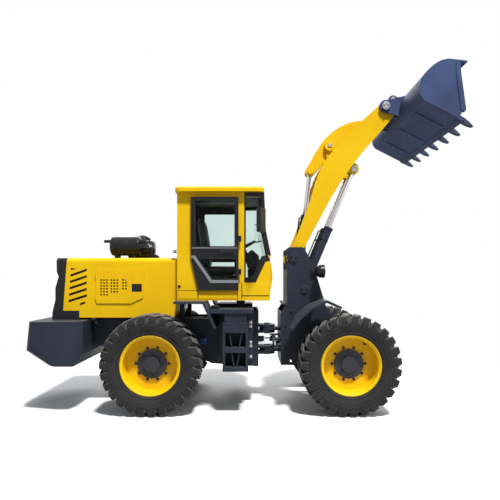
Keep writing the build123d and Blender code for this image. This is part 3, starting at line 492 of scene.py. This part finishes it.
def tyre_mesh():
    bm = bmesh.new()
    loop = list(SECTION) + [(r, -w) for r, w in reversed(SECTION)]
    rings = [[bm.verts.new(turned_point(r, w, a)) for r, w in loop] for a in around(TYRE_STEPS)]
    stitch(bm, rings + rings[:1])
    for side in (-1, 1):
        for k in range(LUGS):
            add_lug(bm, side, 2 * math.pi * (k + LUG_STAGGER[side]) / LUGS)
    bmesh.ops.recalc_face_normals(bm, faces=bm.faces)
    mesh = bpy.data.meshes.new("tyre_form")
    bm.to_mesh(mesh)
    bm.free()
    mesh.materials.append(MATERIALS["tyre_rubber"])
    shade_smooth(mesh, TYRE_CREASE)
    return mesh


def add_lug(bm, side, turn):
    """Curved traction bar with drafted flanks and broken top corners."""
    rows = []
    for width, top, root, skew, half in LUG_STATIONS:
        flank = ((half + LUG_DRAFT, root), (half, top - LUG_CORNER), (half - LUG_CORNER, top))
        section = flank + tuple((-offset, radius) for offset, radius in reversed(flank))
        rows.append([bm.verts.new(turned_point(radius, side * width, turn + side * (skew + offset) / radius))
                     for offset, radius in section])
    stitch(bm, rows)
    close_ends(bm, rows)


def build_wheels():
    form = tyre_mesh()
    for end, x in WHEEL_X.items():
        for name, side in SIDES.items():
            def spot(radius, angle, outside):
                return at(x + radius * math.cos(angle), side * (HALF_TRACK + outside),
                          TYRE_R + radius * math.sin(angle))

            body = f"wheel_{end}_{name}"
            tyre = bpy.data.objects.new(f"tyre_{end}_{name}_lugged", form)
            bpy.context.scene.collection.objects.link(tyre)
            tyre.matrix_world = (Matrix.Translation(at(x, side * HALF_TRACK, TYRE_R))
                                 @ Matrix.Rotation(0 if side > 0 else math.pi, 4, "Z"))
            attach(tyre, body)
            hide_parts(f"tyre_{end}_{name}")
            out = Vector((0, side, 0))
            nuts = bmesh.new()
            for radius, count, outside, flats, height in NUT_RINGS:
                for a in around(count):
                    add_bolt(nuts, spot(radius, a, outside), out, flats, height)
            finish_piece(f"wheel_nuts_{end}_{name}", nuts, body, "pin_steel", "hub_paint", 30)
            stem = bmesh.new()
            add_turned(stem, spot(VALVE_R, VALVE_TURN, VALVE_OUT), out, VALVE_PROFILE, 12)
            finish_piece(f"valve_stem_{end}_{name}", stem, body, "tyre_rubber", "rubber_seal", 30)


# ---- cab ----------------------------------------------------------------------------------------

# distances from the middle plane: wall, outer face of the door, inner face of the front pillar, lining
CAB_HALF, DOOR_FACE, PILLAR_Y, LINING_Y = 630.0, 663.0, 538.0, 574.0
GASKET = ((-300, 1607), (-198, 1607), (-91, 1866), (-15, 1880), (17, 1812), (-40, 1800), (-160, 1545),
          (-300, 1545))
LOW_PANE = ((-860, 1830), (-400, 1830), (-400, 1590), (-690, 1590))
LOW_SEAL = ((-877, 1839), (-391, 1839), (-391, 1581), (-695, 1581))
SILL_TRIM = ((-945, 1838), (-918, 1838), (-711, 1538), (-372, 1538), (-372, 1575), (-694, 1575),
             (-898, 1872), (-945, 1872))
TOP_PANE = ((-897, 2538), (-415, 2538), (-415, 1985), (-897, 1985))
TOP_SEAL = ((-909, 2550), (-403, 2550), (-403, 1973), (-909, 1973))
FRONT_LINE = ((-66, 2640), (-45, 2180), (17, 1876), (30, 1824), (38, 1764))
# cover along the upper part of the front line
PILLAR_COVER = FRONT_LINE[:3] + tuple((x + 9, z) for x, z in reversed(FRONT_LINE[:3]))
# inside of the side walls, up to the edges of the door hole and the quarter window
LININGS = (((-1066, 2628), (-122, 2628), (-118, 2590), (-304, 2590), (-304, 2543), (-1066, 2543)),
           ((-1066, 2543), (-907, 2543), (-907, 1865), (-882, 1865), (-682, 1575), (-682, 1364), (-1066, 1364)),
           ((-682, 1575), (-300, 1575), (-300, 1607), (-198, 1607), (-91, 1866), (-40, 1872), (-22, 1820),
            (4, 1607), (-62, 1364), (-682, 1364)),
           ((-410, 2543), (-300, 2590), (-300, 1575), (-410, 1575)))
DOOR_HOLE = ((-907, 2543), (-410, 2543), (-410, 1575), (-682, 1575), (-882, 1865), (-907, 1865))
HOLE_SEAL = ((-897, 2533), (-420, 2533), (-420, 1585), (-677, 1585), (-873, 1868), (-897, 1868))
HOLE_FLANGE = ((-923, 2559), (-394, 2559), (-394, 1559), (-690, 1559), (-890, 1849), (-923, 1849))
PILLAR_INSIDE = ((-66, 2640), (-45, 2180), (17, 1876), (-35, 1876), (-97, 2180), (-118, 2640))
PILLAR_STEP = ((-90, 2590), (-72, 2180), (-15, 1880), (-36, 1877), (-98, 2180), (-118, 2590))
# black trim beside and over the quarter window, and along its rear edge
QUARTER_TRIM = ((-300, 2644), (-66, 2644), (-45, 2180), (17, 1876), (-15, 1880), (-72, 2180), (-90, 2590),
                (-300, 2590))
QUARTER_POST = ((-300, 2590), (-288, 2590), (-288, 1607), (-300, 1607))
LOW_PANEL = ((-947, 1833), (-918, 1833), (-713, 1533), (-370, 1533), (-370, 1450), (-857, 1450))
CAB_PANELS = (((-1105, 1345), (-868, 1345), (-868, 1440), (-1105, 1440)),
              ((-860, 1345), (-385, 1345), (-385, 1440), (-860, 1440)),
              ((-326, 1388), (6, 1388), (10, 1538), (-326, 1538)))
# dark joints between the pressed panels, and in the last row a painted shadow line under the raised front
# panel: x range, z range
CAB_SEAMS_AND_SHADOW_LINE = (((-1110, -868), (1441, 1449)), ((-868, -860), (1338, 1449)), ((-385, -377), (1338, 1449)),
             ((-336, -328), (1338, 1545)), ((-326, 4), (1378, 1386)))
RAIL_STRIP = ((-940, -378), (1957, 1969))
# pieces of each side: name, body, slot, finish, bevel, and shapes between two distances from the middle plane
CAB_SIDE_PIECES = (
    ("quarter_gasket_{}", "rear_body", "trim_plastic", "rubber_seal", 0.001,
     [(add_prism, GASKET, CAB_HALF, CAB_HALF + 3)]),
    ("front_pillar_cover_{}", "rear_body", "black_paint", None, 0.0,
     [(add_prism, PILLAR_COVER, PILLAR_Y, CAB_HALF)]),
    ("cab_side_lining_{}", "rear_body", "trim_plastic", None, 0.0,
     [(add_prism, outline, CAB_HALF - 55, CAB_HALF - 51) for outline in LININGS]),
    ("door_opening_seal_{}", "rear_body", "trim_plastic", "rubber_seal", 0.001,
     [(add_band, HOLE_SEAL, DOOR_HOLE, CAB_HALF - 56, CAB_HALF + 2),
      (add_band, DOOR_HOLE, HOLE_FLANGE, CAB_HALF, CAB_HALF + 2)]),
    ("quarter_trim_{}", "rear_body", "black_paint", None, 0.001,
     [(add_prism, QUARTER_TRIM, CAB_HALF, CAB_HALF + 2.5),
      (add_prism, QUARTER_POST, CAB_HALF - 26, CAB_HALF + 2.5)]),
    ("front_pillar_inside_{}", "rear_body", "trim_plastic", None, 0.0,
     [(add_prism, PILLAR_INSIDE, PILLAR_Y - 2.5, PILLAR_Y),
      (add_prism, PILLAR_STEP, CAB_HALF - 50, CAB_HALF - 47)]),
    # dark joint strips; the strip under the raised front panel is a painted shadow line
    ("cab_panel_seams_and_painted_shadow_{}", "rear_body", "trim_plastic", "rubber_seal", 0.0,
     [(add_plate, x, z, CAB_HALF, CAB_HALF + 1) for x, z in CAB_SEAMS_AND_SHADOW_LINE]),
    ("cab_low_panels_{}", "rear_body", "yellow_paint", None, 0.0015,
     [(add_prism, outline, CAB_HALF, CAB_HALF + 4) for outline in CAB_PANELS]),
    ("door_low_panel_{}", "door_{}", "black_paint", None, 0.002,
     [(add_prism, LOW_PANEL, DOOR_FACE - 29, DOOR_FACE - 1)]),
    ("door_rail_strip_{}", "door_{}", "trim_plastic", "grey_trim", 0.0012,
     [(add_plate, *RAIL_STRIP, DOOR_FACE, DOOR_FACE + 5)]),
    ("door_low_trim_{}", "door_{}", "trim_plastic", "grey_trim", 0.001,
     [(add_prism, SILL_TRIM, DOOR_FACE, DOOR_FACE + 4)]),
    ("door_top_seal_{}", "door_{}", "trim_plastic", "rubber_seal", 0.0012,
     [(add_band, TOP_PANE, TOP_SEAL, DOOR_FACE, DOOR_FACE + 4),
      (add_band, LOW_PANE, LOW_SEAL, DOOR_FACE, DOOR_FACE + 3)]),
)
LOCK_PLATE, LOCK_T, LOCK_BARREL = ((-600, -400), (1872, 1950)), 5, (-585, 1912)
LOCK_PROFILE = ((0, 16), (8, 15), (9, 9), (5, 7))
MIRROR_X, MIRROR_Y, MIRROR_Z = (-131.5, -128.8), (770, 930), (2152, 2404)
MIRROR_PIVOT, MIRROR_TURN = (-100, 850), math.radians(22)
# lower edge, upper edge and half length of the rails on the windscreen
WINDSCREEN_RAILS = ((2586, 2640, PILLAR_Y), (1766, 1784, 360))
RAIL_T = 3
# headliner, floor mat and rear wall lining: x range, z range
INSIDE_BOXES = (((-1066, -124), (2630, 2640)), ((-1066, -62), (1356, 1364)), ((-1068, -1062), (1364, 1878)))
POD, POD_HALF = ((-306, 1880), (-205, 1978), (-112, 1890), (-92, 1720), (-255, 1720)), 170
# four bars round the rear window: y range, z range
REAR_SEAL = (((-540, 540), (2540, 2562)), ((-540, 540), (1878, 1900)), ((-540, -518), (1900, 2540)),
             ((518, 540), (1900, 2540)))
REAR_SEAL_X = (-1123, -1119)
WORK_LAMP_FOOT, WORK_LAMP_Y = ((-1148, -1119), (1906, 1916)), 576
WORK_LAMP, WORK_LAMP_PROFILE = (-1138, 1936), ((0, 20), (6, 27), (34, 30), (36, 27), (33, 24))
CORNER_PLUG, PLUG_PROFILE = (-1092, 1500), ((0, 17), (8, 17), (12, 11))
WIPER_ARM = ((38, 120, 1790), (44, 110, 1815), (-20, 60, 2120), (-28, 50, 2180))
WIPER_BLADE = ((10, 55, 1975), (-34, 52, 2200), (-44, 50, 2430))


def windscreen_x(z):
    """Outer windscreen line at a height."""
    for (xa, za), (xb, zb) in zip(FRONT_LINE, FRONT_LINE[1:]):
        if zb <= z <= za:
            return xa + (xb - xa) * (za - z) / (za - zb)
    return FRONT_LINE[-1][0]


def build_cab_side(name, side):
    for title, body, slot, finish, bevel, shapes in CAB_SIDE_PIECES:
        bm = bmesh.new()
        for add, *outline, near, far in shapes:
            add(bm, *outline, *sided(side, near, far))
        finish_piece(title.format(name), bm, body.format(name), slot, finish, bevel=bevel)
    lock = bmesh.new()
    add_plate(lock, *LOCK_PLATE, *sided(side, DOOR_FACE, DOOR_FACE + LOCK_T))
    barrel = at(LOCK_BARREL[0], side * (DOOR_FACE + LOCK_T), LOCK_BARREL[1])
    add_turned(lock, barrel, (0, side, 0), LOCK_PROFILE, 20)
    finish_piece(f"door_lock_plate_{name}", lock, f"door_{name}", "trim_plastic", bevel=0.0012)
    face = bmesh.new()
    add_box(face, MIRROR_X, sided(side, *MIRROR_Y), MIRROR_Z)
    bmesh.ops.rotate(face, verts=face.verts, cent=at(MIRROR_PIVOT[0], side * MIRROR_PIVOT[1], 0),
                     matrix=Matrix.Rotation(side * MIRROR_TURN, 3, "Z"))
    finish_piece(f"mirror_glass_{name}", face, "rear_body", "pin_steel", "mirror_face", bevel=0.0008)


def build_cab():
    for name, side in SIDES.items():
        build_cab_side(name, side)
    rails = bmesh.new()
    for low, high, half in WINDSCREEN_RAILS:
        x0, x1 = windscreen_x(low), windscreen_x(high)
        add_prism(rails, ((x0, low), (x0 + RAIL_T, low), (x1 + RAIL_T, high), (x1, high)), -half, half)
    finish_piece("windscreen_rails", rails, "rear_body", "black_paint")
    inside = bmesh.new()
    for x, z in INSIDE_BOXES:
        add_plate(inside, x, z, -LINING_Y, LINING_Y)
    finish_piece("cab_headliner_and_mat", inside, "rear_body", "trim_plastic", bevel=0.002)
    pod = bmesh.new()
    add_prism(pod, POD, -POD_HALF, POD_HALF)
    finish_piece("instrument_pod", pod, "rear_body", "trim_plastic", bevel=0.012)
    rear = bmesh.new()
    for y, z in REAR_SEAL:
        add_box(rear, REAR_SEAL_X, y, z)
    finish_piece("rear_window_seal", rear, "rear_body", "trim_plastic", "rubber_seal", bevel=0.001)
    for name, side in SIDES.items():
        lamp = bmesh.new()
        add_plate(lamp, *WORK_LAMP_FOOT, *sided(side, WORK_LAMP_Y - 10, WORK_LAMP_Y + 10))
        add_turned(lamp, at(WORK_LAMP[0], side * WORK_LAMP_Y, WORK_LAMP[1]), (-1, 0, 0), WORK_LAMP_PROFILE, 24)
        finish_piece(f"rear_work_lamp_{name}", lamp, "rear_body", "pin_steel", smooth=35)
        knob = bmesh.new()
        add_turned(knob, at(CORNER_PLUG[0], side * CAB_HALF, CORNER_PLUG[1]), (0, side, 0), PLUG_PROFILE, 20)
        finish_piece(f"cab_corner_plug_{name}", knob, "rear_body", "trim_plastic", "rubber_seal", 35)
    wiper = bmesh.new()
    add_tube(wiper, [at(*p) for p in WIPER_ARM], 7)
    add_tube(wiper, [at(*p) for p in WIPER_BLADE], 9, 8)
    finish_piece("windscreen_wiper", wiper, "rear_body", "black_paint", smooth=40)


# ---- seat ---------------------------------------------------------------------------------------

CUSHION_GRID = 28
CHANNELS, CHANNEL_DEPTH, CHANNEL_WIDTH = (-0.5, 0.5), 0.012, 0.035
EDGE_SHARE = 0.12  # the cushion's rim stands this share of its half height from its middle
SIDE_PULL = 0.035
# middle (x, z) and size of the two pads
SEAT_PAD, SEAT_PAD_SIZE = (-610, 1697), (462, 500, 126)
BACK_PAD, BACK_PAD_SIZE = (-830, 2070), (640, 480, 110)
BACK_LEAN = math.atan2(95, 620)
SEAT_BASE = ((-800, 1355), (-440, 1355), (-460, 1480), (-430, 1636), (-810, 1636), (-780, 1480))
SEAT_BASE_HALF = 200


def add_cushion(bm, centre, size, tilt):
    """Crowned closed cushion: sides pulled in between corners, sewn channels across its face."""
    grid = CUSHION_GRID
    half = Vector(size) / 2000
    turn = Matrix.Rotation(tilt, 3, "Y")
    sheets = []
    for top in (1, -1):
        rows = []
        for i in range(grid + 1):
            row = []
            for j in range(grid + 1):
                u, v = 2 * i / grid - 1, 2 * j / grid - 1
                round_off = (1 - abs(u) ** 4) * (1 - abs(v) ** 4)
                lift = half.z * (EDGE_SHARE + (1 - EDGE_SHARE) * max(round_off, 0.0) ** 0.4)
                if top > 0:
                    for c in CHANNELS:
                        lift -= CHANNEL_DEPTH * math.exp(-((v - c) / CHANNEL_WIDTH) ** 2) * round_off
                pull = 1 - SIDE_PULL * (1 - v * v) * abs(u) ** 3
                tuck = 1 - SIDE_PULL * (1 - u * u) * abs(v) ** 3
                place = Vector((u * half.x * pull, v * half.y * tuck, top * lift))
                row.append(bm.verts.new(centre + turn @ place))
            rows.append(row)
        for a, b in zip(rows, rows[1:]):
            for j in range(grid):
                quad = (a[j], a[j + 1], b[j + 1], b[j])
                bm.faces.new(quad if top > 0 else tuple(reversed(quad)))
        sheets.append(rows)
    upper, lower = sheets
    edge = ([(i, 0) for i in range(grid)] + [(grid, j) for j in range(grid)]
            + [(i, grid) for i in range(grid, 0, -1)] + [(0, j) for j in range(grid, 0, -1)])
    for (i, j), (p, q) in zip(edge, edge[1:] + edge[:1]):
        bm.faces.new((upper[i][j], upper[p][q], lower[p][q], lower[i][j]))


def build_seat():
    bm = bmesh.new()
    add_cushion(bm, at(SEAT_PAD[0], 0, SEAT_PAD[1]), SEAT_PAD_SIZE, 0.0)
    add_cushion(bm, at(BACK_PAD[0], 0, BACK_PAD[1]), BACK_PAD_SIZE, math.radians(90) - BACK_LEAN)
    pad = finish_piece("operator_seat_pads", bm, "rear_body", "seat_vinyl", smooth=60)
    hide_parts("seat")
    base = bmesh.new()
    add_prism(base, SEAT_BASE, -SEAT_BASE_HALF, SEAT_BASE_HALF)
    finish_piece("operator_seat_base", base, "rear_body", "trim_plastic", bevel=0.008)


# ---- hood, counterweight and steps --------------------------------------------------------------

LOUVRE_SCREEN, LOUVRE_Y = ((-2478, -2225), (1245, 1732)), (530, 534)
CANISTER_Y, CANISTER_Z = -170, 2014
STRAP_X, STRAP_PROFILE = (-1979, -1749), ((0, 122), (0, 126), (28, 126), (28, 122))
END_DISC_X, END_DISC_PROFILE = -2050, ((0, 60), (2, 86), (6, 86), (6, 60))
PRE_CLEANER, FIN_RING, FINS = (-1690, 130, 2114), 90, 24
FRAME_BOLT_X, FRAME_BOLT_Y, FRAME_BOLT_Z = (-2180, -1800, -1480, -1200), 400, 1040
# recess and handle of the engine doors' latch: x range, z range, distances from the middle plane
LATCH = (((-1686, -1562), (1430, 1526), 566, 567), ((-1658, -1590), (1436, 1520), 571, 575))
STEP_Z, STEP_Y = (560, 790), (712, 892)
STEP_STRIP = (-510, 18, 38, 6)  # first place, width, pitch and count of the strips on a step
DECK_Z, DECK_Y = 1233, (640, 890)
DECK_STRIP = (-670, 30, 52, 9)
# slanted plates inside the step box: x at the foot, x at the head of each step
STEP_GUSSETS = ((-424, -452), (-392, -364))
GUSSET_T, GUSSET_Y = 16, (700, 884)
LOWER_STEP, UPPER_STEP = (560, 730), (790, 960)
PLATE_BOLT_X, PLATE_BOLT_Y, PLATE_BOLT_Z = -222, 620, (640, 770, 815, 1010, 1058)
FUEL_CAP, FUEL_CAP_PROFILE = (-640, -800, 1233), ((0, 46), (12, 46), (16, 52), (40, 52), (44, 44))
VALVE_BLOCK = ((-850, -770), (-478, -400), (770, 850))
VALVE_PORTS, PORT_PROFILE = ((-810, -478, 790), (-810, -478, 830)), ((0, 20), (10, 20), (10, 14), (34, 14))
TOW_PIN, TOW_PROFILE = (-2790, 0, 690), ((0, 20), (4, 24), (300, 24), (302, 40), (316, 40))


def add_strips(bm, strips, y, z):
    """Raised strips across a step."""
    start, width, pitch, count = strips
    for k in range(count):
        add_box(bm, (start + pitch * k, start + width + pitch * k), y, (z[0], z[1]))


def add_gusset(bm, side, foot, head, heights):
    """Slanted plate from its foot to its head."""
    low, high = heights
    outline = ((head, high), (head + GUSSET_T, high), (foot + GUSSET_T, low), (foot, low))
    add_prism(bm, outline, *sided(side, *GUSSET_Y))


def build_hood():
    screen = bmesh.new()
    for side in (-1, 1):
        add_plate(screen, *LOUVRE_SCREEN, *sided(side, *LOUVRE_Y))
    finish_piece("louvre_screens", screen, "rear_body", "black_paint")
    straps = bmesh.new()
    for x in STRAP_X:
        add_turned(straps, at(x, CANISTER_Y, CANISTER_Z), (1, 0, 0), STRAP_PROFILE, 40, True)
    add_turned(straps, at(END_DISC_X, CANISTER_Y, CANISTER_Z), (1, 0, 0), END_DISC_PROFILE, 40)
    finish_piece("canister_straps", straps, "rear_body", "black_paint", smooth=30)
    fins = bmesh.new()
    x, y, z = PRE_CLEANER
    for a in around(FINS):
        foot = at(x + FIN_RING * math.cos(a), y + FIN_RING * math.sin(a), z)
        add_turned(fins, foot, (0, 0, 1), ((0, 5), (30, 5)), 6)
    finish_piece("pre_cleaner_fins", fins, "rear_body", "black_paint", "trim_plastic", 30)
    bolts = bmesh.new()
    for side in (-1, 1):
        for x in FRAME_BOLT_X:
            add_bolt(bolts, at(x, side * FRAME_BOLT_Y, FRAME_BOLT_Z), (0, side, 0), 24, 14)
    finish_piece("rear_frame_bolts", bolts, "rear_body", "pin_steel", "zinc_bolt", 30)
    for name, side in SIDES.items():
        latch = bmesh.new()
        for x, z, near, far in LATCH:
            add_plate(latch, x, z, *sided(side, near, far))
        finish_piece(f"engine_door_latch_{name}", latch, f"engine_door_{name}", "black_paint", bevel=0.002)


def build_steps():
    treads = bmesh.new()
    for side in (-1, 1):
        for z in STEP_Z:
            add_strips(treads, STEP_STRIP, sided(side, *STEP_Y), (z, z + 5))
        add_strips(treads, DECK_STRIP, sided(side, *DECK_Y), (DECK_Z, DECK_Z + 4))
    finish_piece("step_treads", treads, "rear_body", "structure_paint", bevel=0.0012)
    gussets = bmesh.new()
    plate_bolts = bmesh.new()
    for side in (-1, 1):
        for foot, head in STEP_GUSSETS:
            add_gusset(gussets, side, foot, head, LOWER_STEP)
            add_gusset(gussets, side, head, 2 * head - foot, UPPER_STEP)
        for z in PLATE_BOLT_Z:
            add_bolt(plate_bolts, at(PLATE_BOLT_X, side * PLATE_BOLT_Y, z), (0, side, 0), 24, 15)
    finish_piece("step_gussets", gussets, "rear_body", "structure_paint", bevel=0.002)
    finish_piece("tank_plate_bolts", plate_bolts, "rear_body", "pin_steel", smooth=30)
    cap = bmesh.new()
    add_turned(cap, at(*FUEL_CAP), (0, 0, 1), FUEL_CAP_PROFILE, 28)
    finish_piece("fuel_cap", cap, "rear_body", "black_paint", smooth=35)
    valve = bmesh.new()
    add_box(valve, *VALVE_BLOCK)
    for port in VALVE_PORTS:
        add_turned(valve, at(*port), (0, -1, 0), PORT_PROFILE, 16)
    finish_piece("hydraulic_valve", valve, "rear_body", "cast_grey", "blue_valve", 30, 0.004)
    tow = bmesh.new()
    add_turned(tow, at(*TOW_PIN), (0, 0, 1), TOW_PROFILE, 24)
    finish_piece("tow_pin", tow, "rear_body", "pin_steel", smooth=35)


# ---- tower, boom and cylinders ------------------------------------------------------------------

BOOM_PIN = (325.0, 1854.0)
BUCKET_PIN = (1510.0, 3800.0)
LIFT_BASE, LIFT_EYE = (465.0, 1450.0), (1127.0, 3020.0)
TILT_BASE, TILT_EYE = (440.0, 1748.0), (576.0, 3024.0)
ROCKER_PIN = (829.0, 3348.0)
LIFT_Y = 165.0
# faces that the pins' end plates lie on, as distances from the middle plane
TOWER_FACE, BUCKET_FACE, LIFT_FACE, COVER_FACE = 360, 345, 235, 127
TOWER_BOLTS = ((230, 700), (230, 1000), (420, 640), (650, 640), (640, 900), (300, 1180))
COVER_PROFILE = ((0, 73), (7, 73), (10, 69))
KEEPER_HALF, KEEPER_Y = (26, 20), (137, 145)
BARREL_R = 55
PIPE_START, LIFT_PIPE_END, TILT_PIPE_END = 110, 840, 660
PIPE_R, PIPE_OFF, CLAMP_W = 9, 16, 26
LAMP_Y, LAMP_Z = 490, 1683
LENS_X, LENS_PROFILE = 689, ((0, 66), (6, 66), (14, 52), (19, 30), (21, 8))
BEZEL_X, BEZEL_PROFILE = 674, ((0, 82), (20, 82), (22, 79), (18, 66), (15, 66))


def beside(p, q, y, distance, offset):
    """Frame point at a distance along p to q, pushed sideways by offset in the side view."""
    span_x, span_z = q[0] - p[0], q[1] - p[1]
    length = math.hypot(span_x, span_z)
    ux, uz = span_x / length, span_z / length
    return at(p[0] + ux * distance - uz * offset, y, p[1] + uz * distance + ux * offset)


def pressure_pipe(name, body, p, q, y, stop):
    """Steel line along a cylinder barrel, with an elbow into each end and two clamps."""
    bm = bmesh.new()
    start, barrel = PIPE_START, BARREL_R
    route = ((start, barrel - 4), (start, barrel + PIPE_OFF), (start + 14, barrel + PIPE_OFF + 4),
             (stop - 14, barrel + PIPE_OFF + 4), (stop, barrel + PIPE_OFF), (stop, barrel - 4))
    add_tube(bm, [beside(p, q, y, distance, offset) for distance, offset in route], PIPE_R)
    axis = Vector((q[0] - p[0], 0, q[1] - p[1]))
    band = ((0, barrel - 2), (0, barrel + 2.5), (CLAMP_W, barrel + 2.5), (CLAMP_W, barrel - 2))
    for distance in (start + 120, stop - 150):
        add_turned(bm, beside(p, q, y, distance, 0), axis, band, 32, True)
        add_turned(bm, beside(p, q, y, distance, barrel + PIPE_OFF), axis, ((0, 13), (CLAMP_W, 13)), 12)
    finish_piece(name, bm, body, "black_paint", smooth=35)


def pin_cap(bm, centre, y, side, radius):
    """Retaining plate with three bolts on a pin's end."""
    spot = at(centre[0], y, centre[1])
    add_turned(bm, spot, (0, side, 0), ((0, radius), (9, radius), (12, radius - 4)), 36)
    for turn in around(3):
        a = turn + 0.5
        off = Vector((math.cos(a), 0, math.sin(a))) * radius * 0.00058
        add_bolt(bm, spot + off + Vector((0, side * 0.012, 0)), (0, side, 0), 20, 13)


def build_front():
    for name, side in SIDES.items():
        out = (0, side, 0)
        caps = bmesh.new()
        pin_cap(caps, BOOM_PIN, side * TOWER_FACE, side, 66)
        pin_cap(caps, LIFT_BASE, side * TOWER_FACE, side, 56)
        for x, z in TOWER_BOLTS:
            add_bolt(caps, at(x, side * TOWER_FACE, z), out, 26, 16)
        finish_piece(f"tower_pin_caps_{name}", caps, "front_body", "pin_steel", "structure_paint", 30)
        ends = bmesh.new()
        pin_cap(ends, BUCKET_PIN, side * BUCKET_FACE, side, 52)
        finish_piece(f"bucket_pin_caps_{name}", ends, "bucket_pins", "pin_steel", smooth=30)
        eyes = bmesh.new()
        pin_cap(eyes, LIFT_EYE, side * LIFT_FACE, side, 46)
        finish_piece(f"lift_eye_caps_{name}", eyes, "boom", "pin_steel", smooth=30)
        cover = bmesh.new()
        pin_x, pin_z = ROCKER_PIN
        add_turned(cover, at(pin_x, side * COVER_FACE, pin_z), out, COVER_PROFILE, 40)
        finish_piece(f"rocker_pin_cover_{name}", cover, "rocker_pin", "yellow_paint", smooth=35)
        keeper = bmesh.new()
        half_x, half_z = KEEPER_HALF
        add_plate(keeper, (pin_x - half_x, pin_x + half_x), (pin_z - half_z, pin_z + half_z),
                  *sided(side, *KEEPER_Y))
        finish_piece(f"rocker_pin_keeper_{name}", keeper, "rocker_pin", "pin_steel", bevel=0.002)
        pressure_pipe(f"lift_pipe_{name}", "lift_barrels", LIFT_BASE, LIFT_EYE, side * LIFT_Y, LIFT_PIPE_END)
        lens = bmesh.new()
        add_turned(lens, at(LENS_X, side * LAMP_Y, LAMP_Z), (1, 0, 0), LENS_PROFILE, 40)
        finish_piece(f"lamp_lens_{name}", lens, "front_body", "clear_glass", "lamp_lens", 40)
        bezel = bmesh.new()
        add_turned(bezel, at(BEZEL_X, side * LAMP_Y, LAMP_Z), (1, 0, 0), BEZEL_PROFILE, 40)
        finish_piece(f"lamp_bezel_{name}", bezel, "front_body", "black_paint", smooth=35)
    pressure_pipe("tilt_pipe", "tilt_barrel", TILT_BASE, TILT_EYE, 0, TILT_PIPE_END)


# ---- stage, light and camera --------------------------------------------------------------------

FLOOR_TONES = ((0.3, (0.90, 0.90, 0.90)), (0.7, (0.94, 0.94, 0.94)))
FLOOR_BOUNCE = (0.45, 0.45, 0.45)
FLOOR_ROUGH = 0.9
FLOOR_R, FLOOR_Z = 6.0, -0.002
FLOOR_FADE = (2.6, 5.5)  # distances between which the floor turns into the white surround
SKY, SKY_STRENGTH = (0.90, 0.95, 1.0, 1), 0.31
# name, place, target, size, power
LAMPS = (("key", (6.0, -14.8, 32.6), (0, 0, 1.4), 4.4, 20000),
         ("fill", (6.0, -5.0, 4.0), (0.6, 0, 1.6), 4.0, 60),
         ("rim", (0.0, 7.0, 7.0), (0, 0, 1.6), 5.0, 450))
CAMERA_PLACE = (0.028, -6.5, 1.612)
CAMERA_SENSOR, CAMERA_LENS, CAMERA_SHIFT = 36.0, 34.7, (0.004, 0.054)


def seen(tree):
    """1 where the surround is looked at, directly, in a reflection or through glass."""
    path = tree.nodes.new("ShaderNodeLightPath")
    mirrored = join(tree, "MAXIMUM", path.outputs["Is Camera Ray"], path.outputs["Is Glossy Ray"])
    return join(tree, "MAXIMUM", mirrored, path.outputs["Is Transmission Ray"])


def blend_shaders(tree, fac, first, second, target):
    blend = tree.nodes.new("ShaderNodeMixShader")
    tree.links.new(fac, blend.inputs["Fac"])
    tree.links.new(first, blend.inputs[1])
    tree.links.new(second, blend.inputs[2])
    tree.links.new(blend.outputs["Shader"], tree.nodes[target].inputs["Surface"])


def build_stage():
    mat, tree, shader = new_material("pale_floor")
    vector = coordinates(tree)
    tone = ramp(tree, noise(tree, vector, 3.0), FLOOR_TONES)
    tree.links.new(mix(tree, seen(tree), FLOOR_BOUNCE, tone), shader.inputs["Base Color"])
    shader.inputs["Roughness"].default_value = FLOOR_ROUGH
    fade = remap(tree, measure(tree, "LENGTH", vector), *FLOOR_FADE)
    fade.node.interpolation_type = "SMOOTHSTEP"
    clear = tree.nodes.new("ShaderNodeBsdfTransparent")
    blend_shaders(tree, fade, shader.outputs["BSDF"], clear.outputs["BSDF"], "Material Output")
    bm = bmesh.new()
    bmesh.ops.create_circle(bm, cap_ends=True, radius=FLOOR_R, segments=96)
    mesh = bpy.data.meshes.new("floor")
    bm.to_mesh(mesh)
    bm.free()
    mesh.materials.append(mat)
    floor = bpy.data.objects.new("floor", mesh)
    floor.location.z = FLOOR_Z
    bpy.context.scene.collection.objects.link(floor)


def build_world():
    world = bpy.data.worlds.new("white_surround")
    bpy.context.scene.world = world
    world.use_nodes = True
    tree = world.node_tree
    shown = tree.nodes["Background"]
    shown.inputs["Color"].default_value = (1, 1, 1, 1)
    shown.inputs["Strength"].default_value = 1.0
    lit = tree.nodes.new("ShaderNodeBackground")
    lit.inputs["Color"].default_value = SKY
    lit.inputs["Strength"].default_value = SKY_STRENGTH
    blend_shaders(tree, seen(tree), lit.outputs["Background"], shown.outputs["Background"], "World Output")


def area_light(name, place, target, size, power):
    data = bpy.data.lights.new(name, "AREA")
    data.shape = "DISK"
    data.size = size
    data.energy = power
    lamp = bpy.data.objects.new(name, data)
    lamp.location = place
    lamp.rotation_euler = (Vector(target) - Vector(place)).to_track_quat("-Z", "Y").to_euler()
    bpy.context.scene.collection.objects.link(lamp)


def build_camera():
    data = bpy.data.cameras.new("photo_camera")
    data.sensor_width = CAMERA_SENSOR
    data.lens = CAMERA_LENS
    data.shift_x, data.shift_y = CAMERA_SHIFT
    camera = bpy.data.objects.new("photo_camera", data)
    camera.location = CAMERA_PLACE
    camera.rotation_euler = (math.radians(90), 0, 0)
    bpy.context.scene.collection.objects.link(camera)
    bpy.context.scene.camera = camera


dress_nodes()
build_wheels()
build_cab()
build_seat()
build_hood()
build_steps()
build_front()
build_stage()
build_world()
for lamp_row in LAMPS:
    area_light(*lamp_row)
build_camera()
bpy.context.scene.view_settings.view_transform = "Standard"
